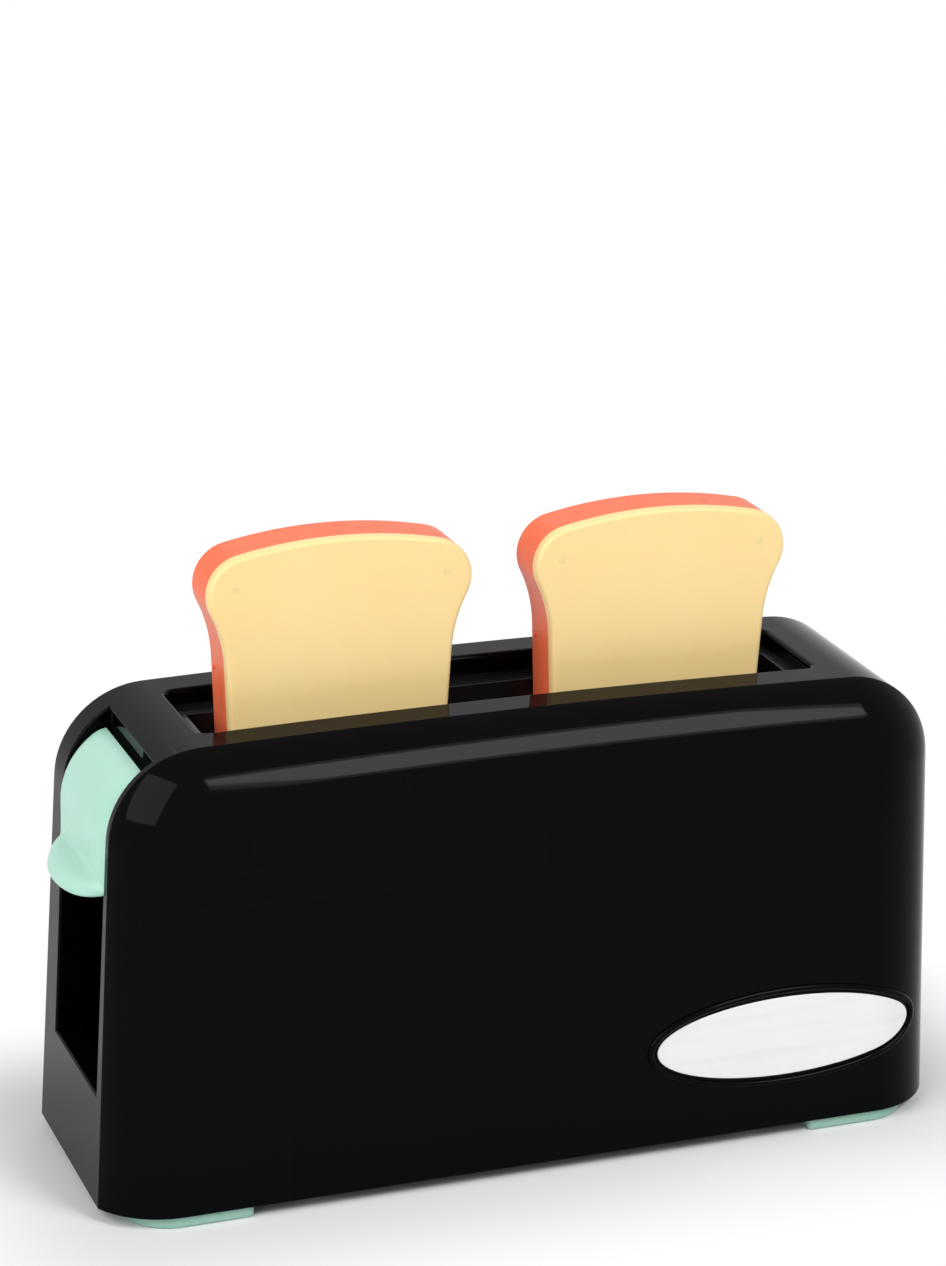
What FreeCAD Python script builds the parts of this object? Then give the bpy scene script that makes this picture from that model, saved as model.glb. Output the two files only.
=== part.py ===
import FreeCAD, Part
import math
import os

from FreeCAD import Vector

# Toy pop-up toaster. Millimetres, +Z up, X along the length with the lever at -X, front face at -Y.
# Origin: on the floor, under the middle of the housing's lower rim.

# ---------------------------------------------------------------- housing moulding
LEVER_END = 26.1         # from the slot's end to the lever end, at the lower rim
FAR_END = 28.9           # from the slot's other end to the far end
HOUSING_HEIGHT = 104.7   # from the lower rim to the crown of the top
SHOULDER = 10.6          # from the slot's side to the crisp edge of each face, at the lower rim
END_DRAFT = 2.4          # degrees that each end leans in
FACE_DRAFT = 1.3         # degrees that the front and back faces lean in
CORNER_RADIUS = 20.7     # upper corners, seen from the front
TOP_CROWN = 1.0          # fall of the top between its middle and CROWN_REACH
CROWN_REACH = 75.0
FACE_RADIUS = 19.0       # rounding that carries each face out from the band
FACE_SWEEP = 61.0        # degrees of that rounding; it meets the band in a crisp edge
WALL = 2.2

FACE_STEPS = 3           # flat steps that follow the face rounding on the inner side
CORNER_STEPS = 5         # and the upper corners

# ---------------------------------------------------------------- toast slices
TOAST_WIDTH = 60.0
TOAST_HEIGHT = 62.4
TOAST_THICK = 10.0
TOAST_GAP = 15.8         # between the two slices
TOAST_FOOT_WIDTH = 48.2
TOAST_FOOT_RADIUS = 6.0
TOAST_FLARE = 2.5        # degrees that the sides open upwards
LOBE_RADIUS = 9.4        # shoulders of the bread outline
LOBE_BELOW_TOP = 10.8    # their centres below the crown of the slice
NECK_RADIUS = 22.0       # hollow under the shoulders
CRUMB_THICK = 2.6        # pale front layer; the rest is crust
SLICE_BREAK = 0.9        # bevel round the front face
TOAST_SHOWING = 38.3     # height of the slices above the housing while the lever is up

# ---------------------------------------------------------------- toast slot
SLOT_END_CLEAR = 4.6     # between a slice and the slot's end
SLOT_SIDE_CLEAR = 8.7    # room for fingers in front of and behind the slices
SLOT_CORNER = 2.4
RIM_BREAK = 1.1          # bevelled mouth
COLLAR_WALL = 1.8        # skirt that hangs from the mouth
COLLAR_DROP = 4.5        # underside of that skirt, below the crown

# ---------------------------------------------------------------- badge
BADGE_INSET = 40.7       # its centre from the far end at the lower rim
BADGE_HEIGHT = 22.6      # centre above the lower rim
BADGE_HALF_LENGTH = 31.8
BADGE_HALF_WIDTH = 9.6
BADGE_THICK = 1.2
BADGE_PROUD = 0.3
BADGE_FIT = 0.1
BEAD_GAP = 0.7           # flat land between badge and bead
BEAD_WIDTH = 1.6
BEAD_PROUD = 0.7

# ---------------------------------------------------------------- carriage and its travel
TRAVEL = 40.0
TRAY_FLOOR = 3.0
TRAY_GAP = 0.5           # between a slice and the tray's lips
TRAY_LIP = 4.0
LIP_WALL = 1.6
TRAY_OVERHANG = 3.0      # tray beyond the slice's foot at each end
BRIDGE_THICK = 1.5       # web between the two trays
SPINE_WIDTH = 6.0
SPINE_DEPTH = 5.0
GUSSET_WIDTH = 3.0
ROD_RADIUS = 2.0
ROD_FIT = 0.08
ROD_BEYOND_SLOT = 5.1    # rod's axis beyond the slot's end
BUSH_SIDE = 8.8          # square block round each bore
BUSH_ABOVE = 8.5         # bush above the tray's seat
BUSH_BELOW = 9.5
STOP_GAP = 0.3           # between the raised bush and its stop

# ---------------------------------------------------------------- toast guide
GUIDE_PLATE = 2.0
GUIDE_MARGIN = 6.4       # plate beyond the slot at front and back
WELL_SIDE_GAP = 2.0      # between a slice and the well, at front and back
WELL_WALL = 1.6
WELL_END_GAP = 1.4       # between the widest part of a slice and the well's end
WELL_ABOVE_TRAY = 1.9    # between the raised tray and the well
DIVIDER_THICK = 1.8
DIVIDER_DROP = 5.0       # divider's top below the plate
DIVIDER_BREAK = 0.5
SOCKET_DEPTH = 7.0
SOCKET_FIT = 0.05
SOCKET_WALL = 1.8        # material round each rod's upper end

# ---------------------------------------------------------------- lever cover and its window
LEVER_WIDTH = 28.6
LEVER_THICK = 2.0
LEVER_RADIUS = 19.2      # curl of the cover over the corner
LEVER_BELOW_TOP = 23.7   # centre of the curl below the crown
LEVER_STRAIGHT = 14.0    # upright part of the cover below the curl
LEVER_RISE = 16.2        # its top edge above the centre of the curl
LEVER_RECESS = 0.5       # cover behind the end face where the curl starts
LEVER_EDGE = 1.0         # bevel along the cover's long edges
LIP_PLAN_RADIUS = 21.7
LIP_REACH = 5.9          # thumb lip beyond the cover
LIP_HEIGHT = 4.8
LIP_SCOOP = 6.0          # hollow above the lip
LIP_BREAK = 1.3          # bevel of the lip's rim
LIP_SAG = 1.3            # depth of the hollow below a straight slope
LEVER_PLATE_WIDTH = 20.0
LEVER_PLATE_HEIGHT = 11.0
LEVER_PLATE_THICK = 2.6
LEVER_ARM_WIDTH = 6.0
LEVER_PEG = 4.0          # side of the two pegs that hold the cover
LEVER_PEG_SPACING = 13.0
WINDOW_FIT = 0.4         # between the cover and each side of the window
WINDOW_CLEAR = 2.0       # between the lowered cover and the sill
WINDOW_TOP_REACH = 14.0  # how far the window runs over the corner, in from the end at the lower rim
CHEEK_WALL = 1.6         # walls that line the window
CHEEK_DEPTH = 7.0
CHEEK_BELOW_TOP = 10.0   # depth of the wall that closes the window's upper end

# ---------------------------------------------------------------- base plate, feet and screws
PLATE_THICK = 2.4
PLATE_FIT = 0.25
PLATE_RIB = 1.6
PLATE_RIB_HEIGHT = 3.0
ROD_BOSS = 9.2           # side of the square boss that holds each rod's foot
ROD_BOSS_HEIGHT = 7.0
ROD_SEAT = 1.2           # material left under each rod
FOOT_HEIGHT = 3.0
FOOT_LENGTH = 27.5
FOOT_WIDTH = 16.0
FOOT_END_INSET = 5.5     # from the end of the housing
FOOT_FACE_INSET = 0.8    # from its front or back face
FOOT_CORNER = 11.0
FOOT_PEG = 4.0           # side of the square peg
FOOT_PEG_FIT = 0.05
PILLAR = 6.8             # side of the square pillars that take the base screws
PILLAR_INSET = 48.0      # its middle from the end of the housing
PILLAR_OUTSIDE_BAND = 3.3
PILLAR_HEIGHT = 36.0
PILLAR_WEB = 1.6
SCREW_RADIUS = 1.4
SCREW_SIDES = 12         # screws and their holes repeat, so they are drawn with few flat sides
SCREW_FIT = 0.15         # clearance of a screw in the piece that it clamps
SCREW_TIP_GAP = 0.2
SCREW_HEAD_RADIUS = 2.6
SCREW_HEAD = 1.5
BASE_SCREW_LENGTH = 10.0
GUIDE_SCREW_LENGTH = 5.2
GUIDE_BOSS = 6.0         # side of each square boss under the top
GUIDE_BOSS_INSET = 16.5  # from the slot's end

# ---------------------------------------------------------------- return springs
SPRING_WIRE = 0.9        # side of the wire, drawn square
SPRING_GAP = 0.8         # between rod and coil
SPRING_TURNS = 7
SPRING_TOP_GAP = 0.3     # between the coil and the bush
TURN_STEPS = 10          # straight pieces in each turn

# ---------------------------------------------------------------- derived places
TOAST_PITCH = TOAST_WIDTH + TOAST_GAP
SLOT_LENGTH = TOAST_PITCH + TOAST_WIDTH + 2 * SLOT_END_CLEAR
SLOT_WIDTH = TOAST_THICK + 2 * SLOT_SIDE_CLEAR
SLOT_CENTRE = (LEVER_END - FAR_END) / 2
HOUSING_LENGTH = SLOT_LENGTH + LEVER_END + FAR_END
BAND_DEPTH = SLOT_WIDTH + 2 * SHOULDER
TOP = FOOT_HEIGHT + HOUSING_HEIGHT
FACE_BULGE = FACE_RADIUS * (1 - math.cos(math.radians(FACE_SWEEP)))
BADGE_CENTRE = HOUSING_LENGTH / 2 - BADGE_INSET
PILLAR_X = HOUSING_LENGTH / 2 - PILLAR_INSET
TOAST_CENTRES = [SLOT_CENTRE - TOAST_PITCH / 2, SLOT_CENTRE + TOAST_PITCH / 2]
ROD_SPACING = SLOT_LENGTH + 2 * ROD_BEYOND_SLOT
ROD_CENTRES = [SLOT_CENTRE - ROD_SPACING / 2, SLOT_CENTRE + ROD_SPACING / 2]
SEAT = TOP + TOAST_SHOWING - TOAST_HEIGHT     # where a slice stands while the lever is up
SPINE_TOP = SEAT - TRAY_FLOOR
SPINE_BOTTOM = SPINE_TOP - SPINE_DEPTH
GUIDE_TOP = TOP - COLLAR_DROP
GUIDE_UNDER = GUIDE_TOP - GUIDE_PLATE
WELL_BOTTOM = SEAT + TRAY_LIP + WELL_ABOVE_TRAY
WELL_HALF_WIDTH = TOAST_THICK / 2 + WELL_SIDE_GAP
BUSH_TOP = SEAT + BUSH_ABOVE
BUSH_BOTTOM = SEAT - BUSH_BELOW
STOP = BUSH_TOP + STOP_GAP
PLATE_TOP = FOOT_HEIGHT + PLATE_THICK
RIB_TOP = PLATE_TOP + PLATE_RIB_HEIGHT
BOSS_TOP = PLATE_TOP + ROD_BOSS_HEIGHT
LEVER_CURL = TOP - LEVER_BELOW_TOP
LEVER_BOTTOM = LEVER_CURL - LEVER_STRAIGHT
WINDOW_SILL = LEVER_BOTTOM - TRAVEL - WINDOW_CLEAR
WINDOW_WIDTH = LEVER_WIDTH + 2 * WINDOW_FIT
FAR = 400.0              # reach of cutting blocks, larger than the toy


# ---------------------------------------------------------------- small helpers
def box(x0, x1, y0, y1, z0, z1):
    return Part.makeBox(x1 - x0, y1 - y0, z1 - z0, Vector(x0, y0, z0))


def post(x, y, z0, z1, radius):
    return Part.makeCylinder(radius, z1 - z0, Vector(x, y, z0))


def screw_post(x, y, z0, z1, radius):
    """Upright prism with SCREW_SIDES sides, for a screw or its hole."""
    turns = [2 * math.pi * side / SCREW_SIDES for side in range(SCREW_SIDES + 1)]
    corners = [Vector(x + radius * math.cos(turn), y + radius * math.sin(turn), z0) for turn in turns]
    return Part.Face(Part.makePolygon(corners)).extrude(Vector(0, 0, z1 - z0))


def rounded_block(x0, x1, y0, y1, z0, z1, radius):
    """Block with its four upright edges rounded."""
    block = box(x0, x1, y0, y1, z0, z1)
    upright = [e for e in block.Edges if abs(e.tangentAt(e.FirstParameter).z) > 0.99]
    return block.makeFillet(radius, upright)


def prism_y(edges, y0, y1):
    """Solid between two Y values from the edges of a closed outline drawn in the XZ plane."""
    face = Part.Face(Part.Wire(edges))
    face.translate(Vector(0, y0, 0))
    return face.extrude(Vector(0, y1 - y0, 0))


def mirrored_y(shape):
    return shape.mirror(Vector(0, 0, 0), Vector(0, 1, 0))


def joined(shapes):
    whole = shapes[0].multiFuse(shapes[1:]) if len(shapes) > 1 else shapes[0]
    whole = whole.removeSplitter()
    return whole.Solids[0] if len(whole.Solids) == 1 else whole


def above(shape, z):
    return shape.common(box(-FAR, FAR, -FAR, FAR, z, FAR))


def save(name, shape):
    solids = shape.Solids
    shape = solids[0] if len(solids) == 1 else Part.makeCompound(solids)
    assert shape.isValid(), name
    shape.exportStep("parts/" + name + ".step")
    size = shape.BoundBox
    print(name, len(solids), "solids", round(shape.Volume), "mm3", len(shape.Faces), "faces", size)


# ---------------------------------------------------------------- outer form of the housing
def band_outline(inset, stepped=False):
    """Outline of the end and top band, drawn in the XZ plane with z = 0 at the lower rim.

    The ends lean in, each upper corner is one arc and the top is a shallow crown. The outline
    runs on below the rim, so that every piece of the housing is trimmed there by one flat cut.
    Stepped, each corner is followed by CORNER_STEPS chords and the top by two.
    """
    lean = math.radians(END_DRAFT)
    slope = math.tan(lean)
    crown = (CROWN_REACH ** 2 + TOP_CROWN ** 2) / (2 * TOP_CROWN)
    crown_z = HOUSING_HEIGHT - crown
    # corner centre: one corner radius inside the leaning end and inside the crown
    start = HOUSING_LENGTH / 2 - CORNER_RADIUS / math.cos(lean)
    a = 1 + slope ** 2
    b = -2 * (start * slope + crown_z)
    c = start ** 2 + crown_z ** 2 - (crown - CORNER_RADIUS) ** 2
    corner_z = (-b + math.sqrt(b * b - 4 * a * c)) / (2 * a)
    corner_x = start - corner_z * slope
    radius = CORNER_RADIUS - inset
    top_angle = math.atan2(corner_z - crown_z, corner_x)

    def on_corner(angle, side):
        return Vector(side * (corner_x + radius * math.cos(angle)), 0, corner_z + radius * math.sin(angle))

    skirt = HOUSING_HEIGHT / 4
    low_x = HOUSING_LENGTH / 2 + skirt * slope - inset / math.cos(lean)
    low = [Vector(-low_x, 0, -skirt), Vector(low_x, 0, -skirt)]
    crest = Vector(0, 0, HOUSING_HEIGHT - inset)
    if stepped:
        angles = [lean + (top_angle - lean) * step / CORNER_STEPS for step in range(CORNER_STEPS + 1)]
        right = [on_corner(angle, 1) for angle in angles]
        left = [on_corner(angle, -1) for angle in reversed(angles)]
        return Part.makePolygon(low + right + [crest] + left + low[:1]).Edges
    right = [on_corner(angle, 1) for angle in (lean, (lean + top_angle) / 2, top_angle)]
    left = [on_corner(angle, -1) for angle in (lean, (lean + top_angle) / 2, top_angle)]
    return [
        Part.LineSegment(low[0], low[1]).toShape(),
        Part.LineSegment(low[1], right[0]).toShape(),
        Part.Arc(right[0], right[1], right[2]).toShape(),
        Part.Arc(right[2], crest, left[2]).toShape(),
        Part.Arc(left[2], left[1], left[0]).toShape(),
        Part.LineSegment(left[0], low[0]).toShape(),
    ]


def on_front_edge(setback):
    """Placement that stands the drawing plane on the band's front edge, leaning back."""
    lean = FreeCAD.Rotation(Vector(1, 0, 0), -FACE_DRAFT)
    edge = Vector(0, -BAND_DEPTH / 2, FOOT_HEIGHT)
    return FreeCAD.Placement(edge + lean.multVec(Vector(0, setback, 0)), lean)


def housing_form(inset):
    """The housing's outer form, moved inwards by inset: a flat band between two bulged faces."""
    sweep = math.radians(FACE_SWEEP)
    radius = FACE_RADIUS - inset
    reach = FACE_RADIUS * math.sin(sweep) - inset
    setback = FACE_RADIUS * math.cos(sweep) - math.sqrt(radius ** 2 - reach ** 2)
    front_y = inset - FACE_RADIUS * (1 - math.cos(sweep))

    block = prism_y(band_outline(inset - (radius - reach)), front_y, front_y + radius + WALL)
    front = [e for e in block.Edges
             if e.BoundBox.YMax < front_y + 0.01 and e.BoundBox.ZMax > 0]
    bulge = block.makeFillet(radius, front).common(box(-FAR, FAR, -FAR, setback, -FAR, FAR))
    bulge.Placement = on_front_edge(0).multiply(bulge.Placement)

    face = Part.Face(Part.Wire(band_outline(inset)))
    face.Placement = on_front_edge(setback)
    band = face.extrude(Vector(0, 2 * BAND_DEPTH, 0))
    ahead = box(-FAR, FAR, -FAR, 0, -FAR, FAR)
    ahead.Placement = on_front_edge(setback).multiply(ahead.Placement)
    band = band.cut(mirrored_y(ahead))
    return joined([band, bulge, mirrored_y(bulge)])


def inner_form(inset):
    """Like housing_form, with every rounding followed by flat steps: the hidden side of the wall."""
    sweep = math.radians(FACE_SWEEP)
    radius = FACE_RADIUS - inset
    reach = FACE_RADIUS * math.sin(sweep)
    end = math.asin((reach - inset) / radius)
    sections = []
    for step in range(FACE_STEPS + 1):
        angle = end * step / FACE_STEPS
        wire = Part.Wire(band_outline(reach - radius * math.sin(angle), True))
        setback = FACE_RADIUS * math.cos(sweep) - radius * math.cos(angle)
        wire.Placement = on_front_edge(setback)
        sections.append(wire)
    bulge = Part.makeLoft(sections, True, True)
    band = Part.makeLoft([sections[-1], mirrored_y(sections[-1])], True, True)
    return joined([band, bulge, mirrored_y(bulge)])


def housing_end_x(z):
    """X of the lever end's outer face at a height below its rounded corner."""
    return -HOUSING_LENGTH / 2 + (z - FOOT_HEIGHT) * math.tan(math.radians(END_DRAFT))


# ---------------------------------------------------------------- housing shell
def badge_prism(grow):
    """Elliptic prism through the front face, larger than the badge by grow."""
    ellipse = Part.Ellipse(Vector(0, 0, 0), BADGE_HALF_LENGTH + grow, BADGE_HALF_WIDTH + grow)
    face = Part.Face(Part.Wire([ellipse.toShape()]))
    face.rotate(Vector(0, 0, 0), Vector(1, 0, 0), 90)
    face.translate(Vector(BADGE_CENTRE, 0, FOOT_HEIGHT + BADGE_HEIGHT))
    return face.extrude(Vector(0, -BAND_DEPTH, 0))


def slot_block(grow, z0, z1):
    half = SLOT_LENGTH / 2 + grow
    width = SLOT_WIDTH / 2 + grow
    return rounded_block(SLOT_CENTRE - half, SLOT_CENTRE + half, -width, width, z0, z1, SLOT_CORNER + grow)


def window_block(grow, depth):
    """Lever window: through the end and over the corner."""
    x1 = -HOUSING_LENGTH / 2 + depth
    half = WINDOW_WIDTH / 2 + grow
    return box(-FAR, x1, -half, half, WINDOW_SILL - grow, FAR)


def guide_boss_places():
    x = SLOT_LENGTH / 2 - GUIDE_BOSS_INSET
    y = SLOT_WIDTH / 2 + COLLAR_WALL + GUIDE_BOSS / 2
    return [(SLOT_CENTRE + sx * x, sy * y) for sx in (-1, 1) for sy in (-1, 1)]


def guide_screw_places():
    """Two of the four bosses, across a diagonal, take a screw."""
    return [guide_boss_places()[0], guide_boss_places()[3]]


def base_screw_places():
    y = BAND_DEPTH / 2 + PILLAR_OUTSIDE_BAND
    return [(sx * PILLAR_X, sy * y) for sx in (-1, 1) for sy in (-1, 1)]


def square_post(x, y, z0, z1, side):
    return box(x - side / 2, x + side / 2, y - side / 2, y + side / 2, z0, z1)


def is_slot_mouth(edge):
    size = edge.BoundBox
    in_length = abs(size.Center.x - SLOT_CENTRE) < SLOT_LENGTH / 2 + 0.1
    in_width = max(abs(size.YMin), abs(size.YMax)) < SLOT_WIDTH / 2 + 0.1
    return in_length and in_width and size.ZMin > TOP - 2 * TOP_CROWN - 0.5


def window_lining():
    """Walls round the lever window: shallow at the sides and the sill, deep at the upper end."""
    reach = WINDOW_TOP_REACH + CHEEK_WALL
    lining = window_block(CHEEK_WALL, reach).cut(window_block(0, WINDOW_TOP_REACH))
    sides = box(-FAR, housing_end_x(FOOT_HEIGHT) + CHEEK_DEPTH, -FAR, FAR, 0, FAR)
    upper = box(-FAR, FAR, -FAR, FAR, TOP - CHEEK_BELOW_TOP, FAR)
    return lining.common(sides.fuse(upper))


def base_pillars():
    """Pillars for the base screws, each tied to its face by a web."""
    pieces = []
    for x, y in base_screw_places():
        face_y = math.copysign(BAND_DEPTH, y)
        pieces.append(square_post(x, y, PLATE_TOP, PLATE_TOP + PILLAR_HEIGHT, PILLAR))
        pieces.append(box(x - PILLAR_WEB / 2, x + PILLAR_WEB / 2, min(y, face_y), max(y, face_y),
                          RIB_TOP + PLATE_FIT, PLATE_TOP + PILLAR_HEIGHT))
    return pieces


def housing_shell():
    body = above(housing_form(0), FOOT_HEIGHT)
    body = body.cut(slot_block(0, FOOT_HEIGHT, FAR)).cut(window_block(0, WINDOW_TOP_REACH))
    body = body.makeChamfer(RIM_BREAK, [e for e in body.Edges if is_slot_mouth(e)])

    cavity = inner_form(WALL)
    half = SLOT_LENGTH / 2 + COLLAR_WALL
    width = SLOT_WIDTH / 2 + COLLAR_WALL
    collar = box(SLOT_CENTRE - half, SLOT_CENTRE + half, -width, width, GUIDE_TOP, TOP)
    collar = collar.cut(slot_block(0, GUIDE_TOP, TOP))
    bosses = [square_post(x, y, GUIDE_TOP, TOP, GUIDE_BOSS) for x, y in guide_boss_places()]
    inner = joined([collar, window_lining()] + bosses + base_pillars()).common(cavity)
    shell = joined([body.cut(cavity), inner])

    for x, y in guide_screw_places():
        depth = GUIDE_SCREW_LENGTH - GUIDE_PLATE + SCREW_TIP_GAP
        shell = shell.cut(screw_post(x, y, GUIDE_TOP, GUIDE_TOP + depth, SCREW_RADIUS))
    for x, y in base_screw_places():
        depth = BASE_SCREW_LENGTH - PLATE_THICK + SCREW_TIP_GAP
        shell = shell.cut(screw_post(x, y, PLATE_TOP, PLATE_TOP + depth, SCREW_RADIUS))

    bead = badge_prism(BADGE_FIT + BEAD_GAP + BEAD_WIDTH).cut(badge_prism(BADGE_FIT + BEAD_GAP))
    bead = bead.common(housing_form(-BEAD_PROUD)).cut(housing_form(WALL / 2))
    pocket = badge_prism(BADGE_FIT).cut(housing_form(BADGE_THICK - BADGE_PROUD))
    return joined([shell, bead]).cut(pocket)


def badge_plate():
    plate = badge_prism(0).common(housing_form(-BADGE_PROUD))
    return plate.cut(housing_form(BADGE_THICK - BADGE_PROUD))


# ---------------------------------------------------------------- toast guide
def well_ends():
    reach = TOAST_PITCH / 2 + TOAST_WIDTH / 2 + WELL_END_GAP
    return SLOT_CENTRE - reach, SLOT_CENTRE + reach


def toast_guide():
    x0, x1 = well_ends()
    plate_x = SLOT_LENGTH / 2 + COLLAR_WALL
    plate_y = SLOT_WIDTH / 2 + GUIDE_MARGIN
    plate = box(SLOT_CENTRE - plate_x, SLOT_CENTRE + plate_x, -plate_y, plate_y, GUIDE_UNDER, GUIDE_TOP)
    outer_y = WELL_HALF_WIDTH + WELL_WALL
    walls = box(x0 - WELL_WALL, x1 + WELL_WALL, -outer_y, outer_y, WELL_BOTTOM, GUIDE_UNDER)
    ears = []
    ear = ROD_RADIUS + SOCKET_WALL
    for x, well_x in zip(ROD_CENTRES, (x0, x1)):
        outward = math.copysign(ear, x - well_x)
        ears.append(box(min(x + outward, well_x), max(x + outward, well_x), -ear, ear, STOP, GUIDE_UNDER))
    guide = joined([plate, walls] + ears)
    guide = guide.cut(box(x0, x1, -WELL_HALF_WIDTH, WELL_HALF_WIDTH, WELL_BOTTOM, GUIDE_TOP))

    divider_top = GUIDE_TOP - DIVIDER_DROP
    divider = box(SLOT_CENTRE - DIVIDER_THICK / 2, SLOT_CENTRE + DIVIDER_THICK / 2,
                  -outer_y, outer_y, WELL_BOTTOM, divider_top)
    crest = [e for e in divider.Edges if e.BoundBox.ZMin > divider_top - 0.01 and e.BoundBox.YLength > outer_y]
    guide = joined([guide, divider.makeChamfer(DIVIDER_BREAK, crest)])
    for x in ROD_CENTRES:
        guide = guide.cut(post(x, 0, STOP, STOP + SOCKET_DEPTH, ROD_RADIUS + SOCKET_FIT))
    for x, y in guide_screw_places():
        guide = guide.cut(screw_post(x, y, GUIDE_UNDER, GUIDE_TOP, SCREW_RADIUS + SCREW_FIT))
    return guide


# ---------------------------------------------------------------- base plate and feet
def foot_places():
    x = HOUSING_LENGTH / 2 - FOOT_END_INSET - FOOT_LENGTH / 2
    y = BAND_DEPTH / 2 + FACE_BULGE - FOOT_FACE_INSET - FOOT_WIDTH / 2
    return {"foot_front_left": (-x, -y), "foot_front_right": (x, -y),
            "foot_rear_left": (-x, y), "foot_rear_right": (x, y)}


def base_plate():
    """Plate in the lower rim, with stiffening ribs, sockets for the rods and holes for screws and feet."""
    form = inner_form(WALL + PLATE_FIT)
    plate = form.common(box(-FAR, FAR, -FAR, FAR, FOOT_HEIGHT, PLATE_TOP))
    half = PLATE_RIB / 2
    ribs = [box(-FAR, FAR, y - half, y + half, PLATE_TOP, RIB_TOP) for y in (-BAND_DEPTH / 4, BAND_DEPTH / 4)]
    ribs += [box(x - half, x + half, -BAND_DEPTH, BAND_DEPTH, PLATE_TOP, RIB_TOP)
             for x in (-PILLAR_X / 2, 0, PILLAR_X / 2)]
    ribs = [rib.common(form) for rib in ribs]
    bosses = [square_post(x, 0, PLATE_TOP, BOSS_TOP, ROD_BOSS) for x in ROD_CENTRES]
    plate = joined([plate] + ribs + bosses)
    for x, y in base_screw_places():
        plate = plate.cut(screw_post(x, y, FOOT_HEIGHT, PLATE_TOP, SCREW_RADIUS + SCREW_FIT))
    for x in ROD_CENTRES:
        plate = plate.cut(post(x, 0, FOOT_HEIGHT + ROD_SEAT, BOSS_TOP, ROD_RADIUS + SOCKET_FIT))
    for x, y in foot_places().values():
        plate = plate.cut(square_post(x, y, FOOT_HEIGHT, PLATE_TOP, FOOT_PEG + 2 * FOOT_PEG_FIT))
    return plate


def corner_foot(x, y):
    """Pad whose outer corner follows the housing's rounded corner, with a peg into the base plate."""
    pad = box(x - FOOT_LENGTH / 2, x + FOOT_LENGTH / 2, y - FOOT_WIDTH / 2, y + FOOT_WIDTH / 2, 0, FOOT_HEIGHT)
    outer = [e for e in pad.Edges if e.BoundBox.ZLength > FOOT_HEIGHT - 0.01
             and abs(e.BoundBox.Center.x) > abs(x) and abs(e.BoundBox.Center.y) > abs(y)]
    pad = pad.makeFillet(FOOT_CORNER, outer)
    return joined([pad, square_post(x, y, FOOT_HEIGHT, PLATE_TOP, FOOT_PEG)])


# ---------------------------------------------------------------- screws
def screw_group(places, z, length):
    """Screws that point up, with the underside of each head at z."""
    group = []
    for x, y in places:
        head = screw_post(x, y, z - SCREW_HEAD, z, SCREW_HEAD_RADIUS)
        group.append(joined([head, screw_post(x, y, z, z + length, SCREW_RADIUS)]))
    return Part.makeCompound(group)


# ---------------------------------------------------------------- carriage
def lever_face_x():
    """Outer face of the lever cover below its curl."""
    return housing_end_x(LEVER_CURL) + LEVER_RECESS


def lever_pegs(x0, x1, side):
    """Two square bars through the lever plate."""
    z = LEVER_CURL - LEVER_PLATE_HEIGHT / 2
    return [box(x0, x1, y - side / 2, y + side / 2, z - side / 2, z + side / 2)
            for y in (-LEVER_PEG_SPACING / 2, LEVER_PEG_SPACING / 2)]


def carriage_frame():
    """Spine between two bushes, with a tray for each slice and a plate that carries the lever cover."""
    foot = TOAST_FOOT_WIDTH / 2 + TRAY_OVERHANG
    lip_y = TOAST_THICK / 2 + TRAY_GAP
    pieces = [box(ROD_CENTRES[0], ROD_CENTRES[1], -SPINE_WIDTH / 2, SPINE_WIDTH / 2, SPINE_BOTTOM, SPINE_TOP)]
    for x in TOAST_CENTRES:
        tray = box(x - foot, x + foot, -lip_y - LIP_WALL, lip_y + LIP_WALL, SPINE_TOP, SEAT + TRAY_LIP)
        pieces.append(tray.cut(box(x - foot, x + foot, -lip_y, lip_y, SEAT, SEAT + TRAY_LIP)))
    pieces.append(box(TOAST_CENTRES[0], TOAST_CENTRES[1], -lip_y, lip_y, SPINE_TOP, SPINE_TOP + BRIDGE_THICK))
    for x, tray_x in zip(ROD_CENTRES, TOAST_CENTRES):
        pieces.append(square_post(x, 0, BUSH_BOTTOM, BUSH_TOP, BUSH_SIDE))
        pieces.append(box(min(x, tray_x), max(x, tray_x), -GUSSET_WIDTH / 2, GUSSET_WIDTH / 2, SPINE_BOTTOM, SEAT))
    plate_x = lever_face_x() + LEVER_THICK
    half = LEVER_PLATE_WIDTH / 2
    pieces.append(box(plate_x, plate_x + LEVER_PLATE_THICK, -half, half,
                      LEVER_CURL - LEVER_PLATE_HEIGHT, LEVER_CURL))
    pieces.append(box(plate_x, ROD_CENTRES[0], -LEVER_ARM_WIDTH / 2, LEVER_ARM_WIDTH / 2, SPINE_BOTTOM, SEAT))
    frame = joined(pieces)
    for x in ROD_CENTRES:
        frame = frame.cut(post(x, 0, BUSH_BOTTOM, BUSH_TOP, ROD_RADIUS + ROD_FIT))
    for socket in lever_pegs(plate_x, plate_x + LEVER_PLATE_THICK, LEVER_PEG + 2 * SOCKET_FIT):
        frame = frame.cut(socket)
    return frame


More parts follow.
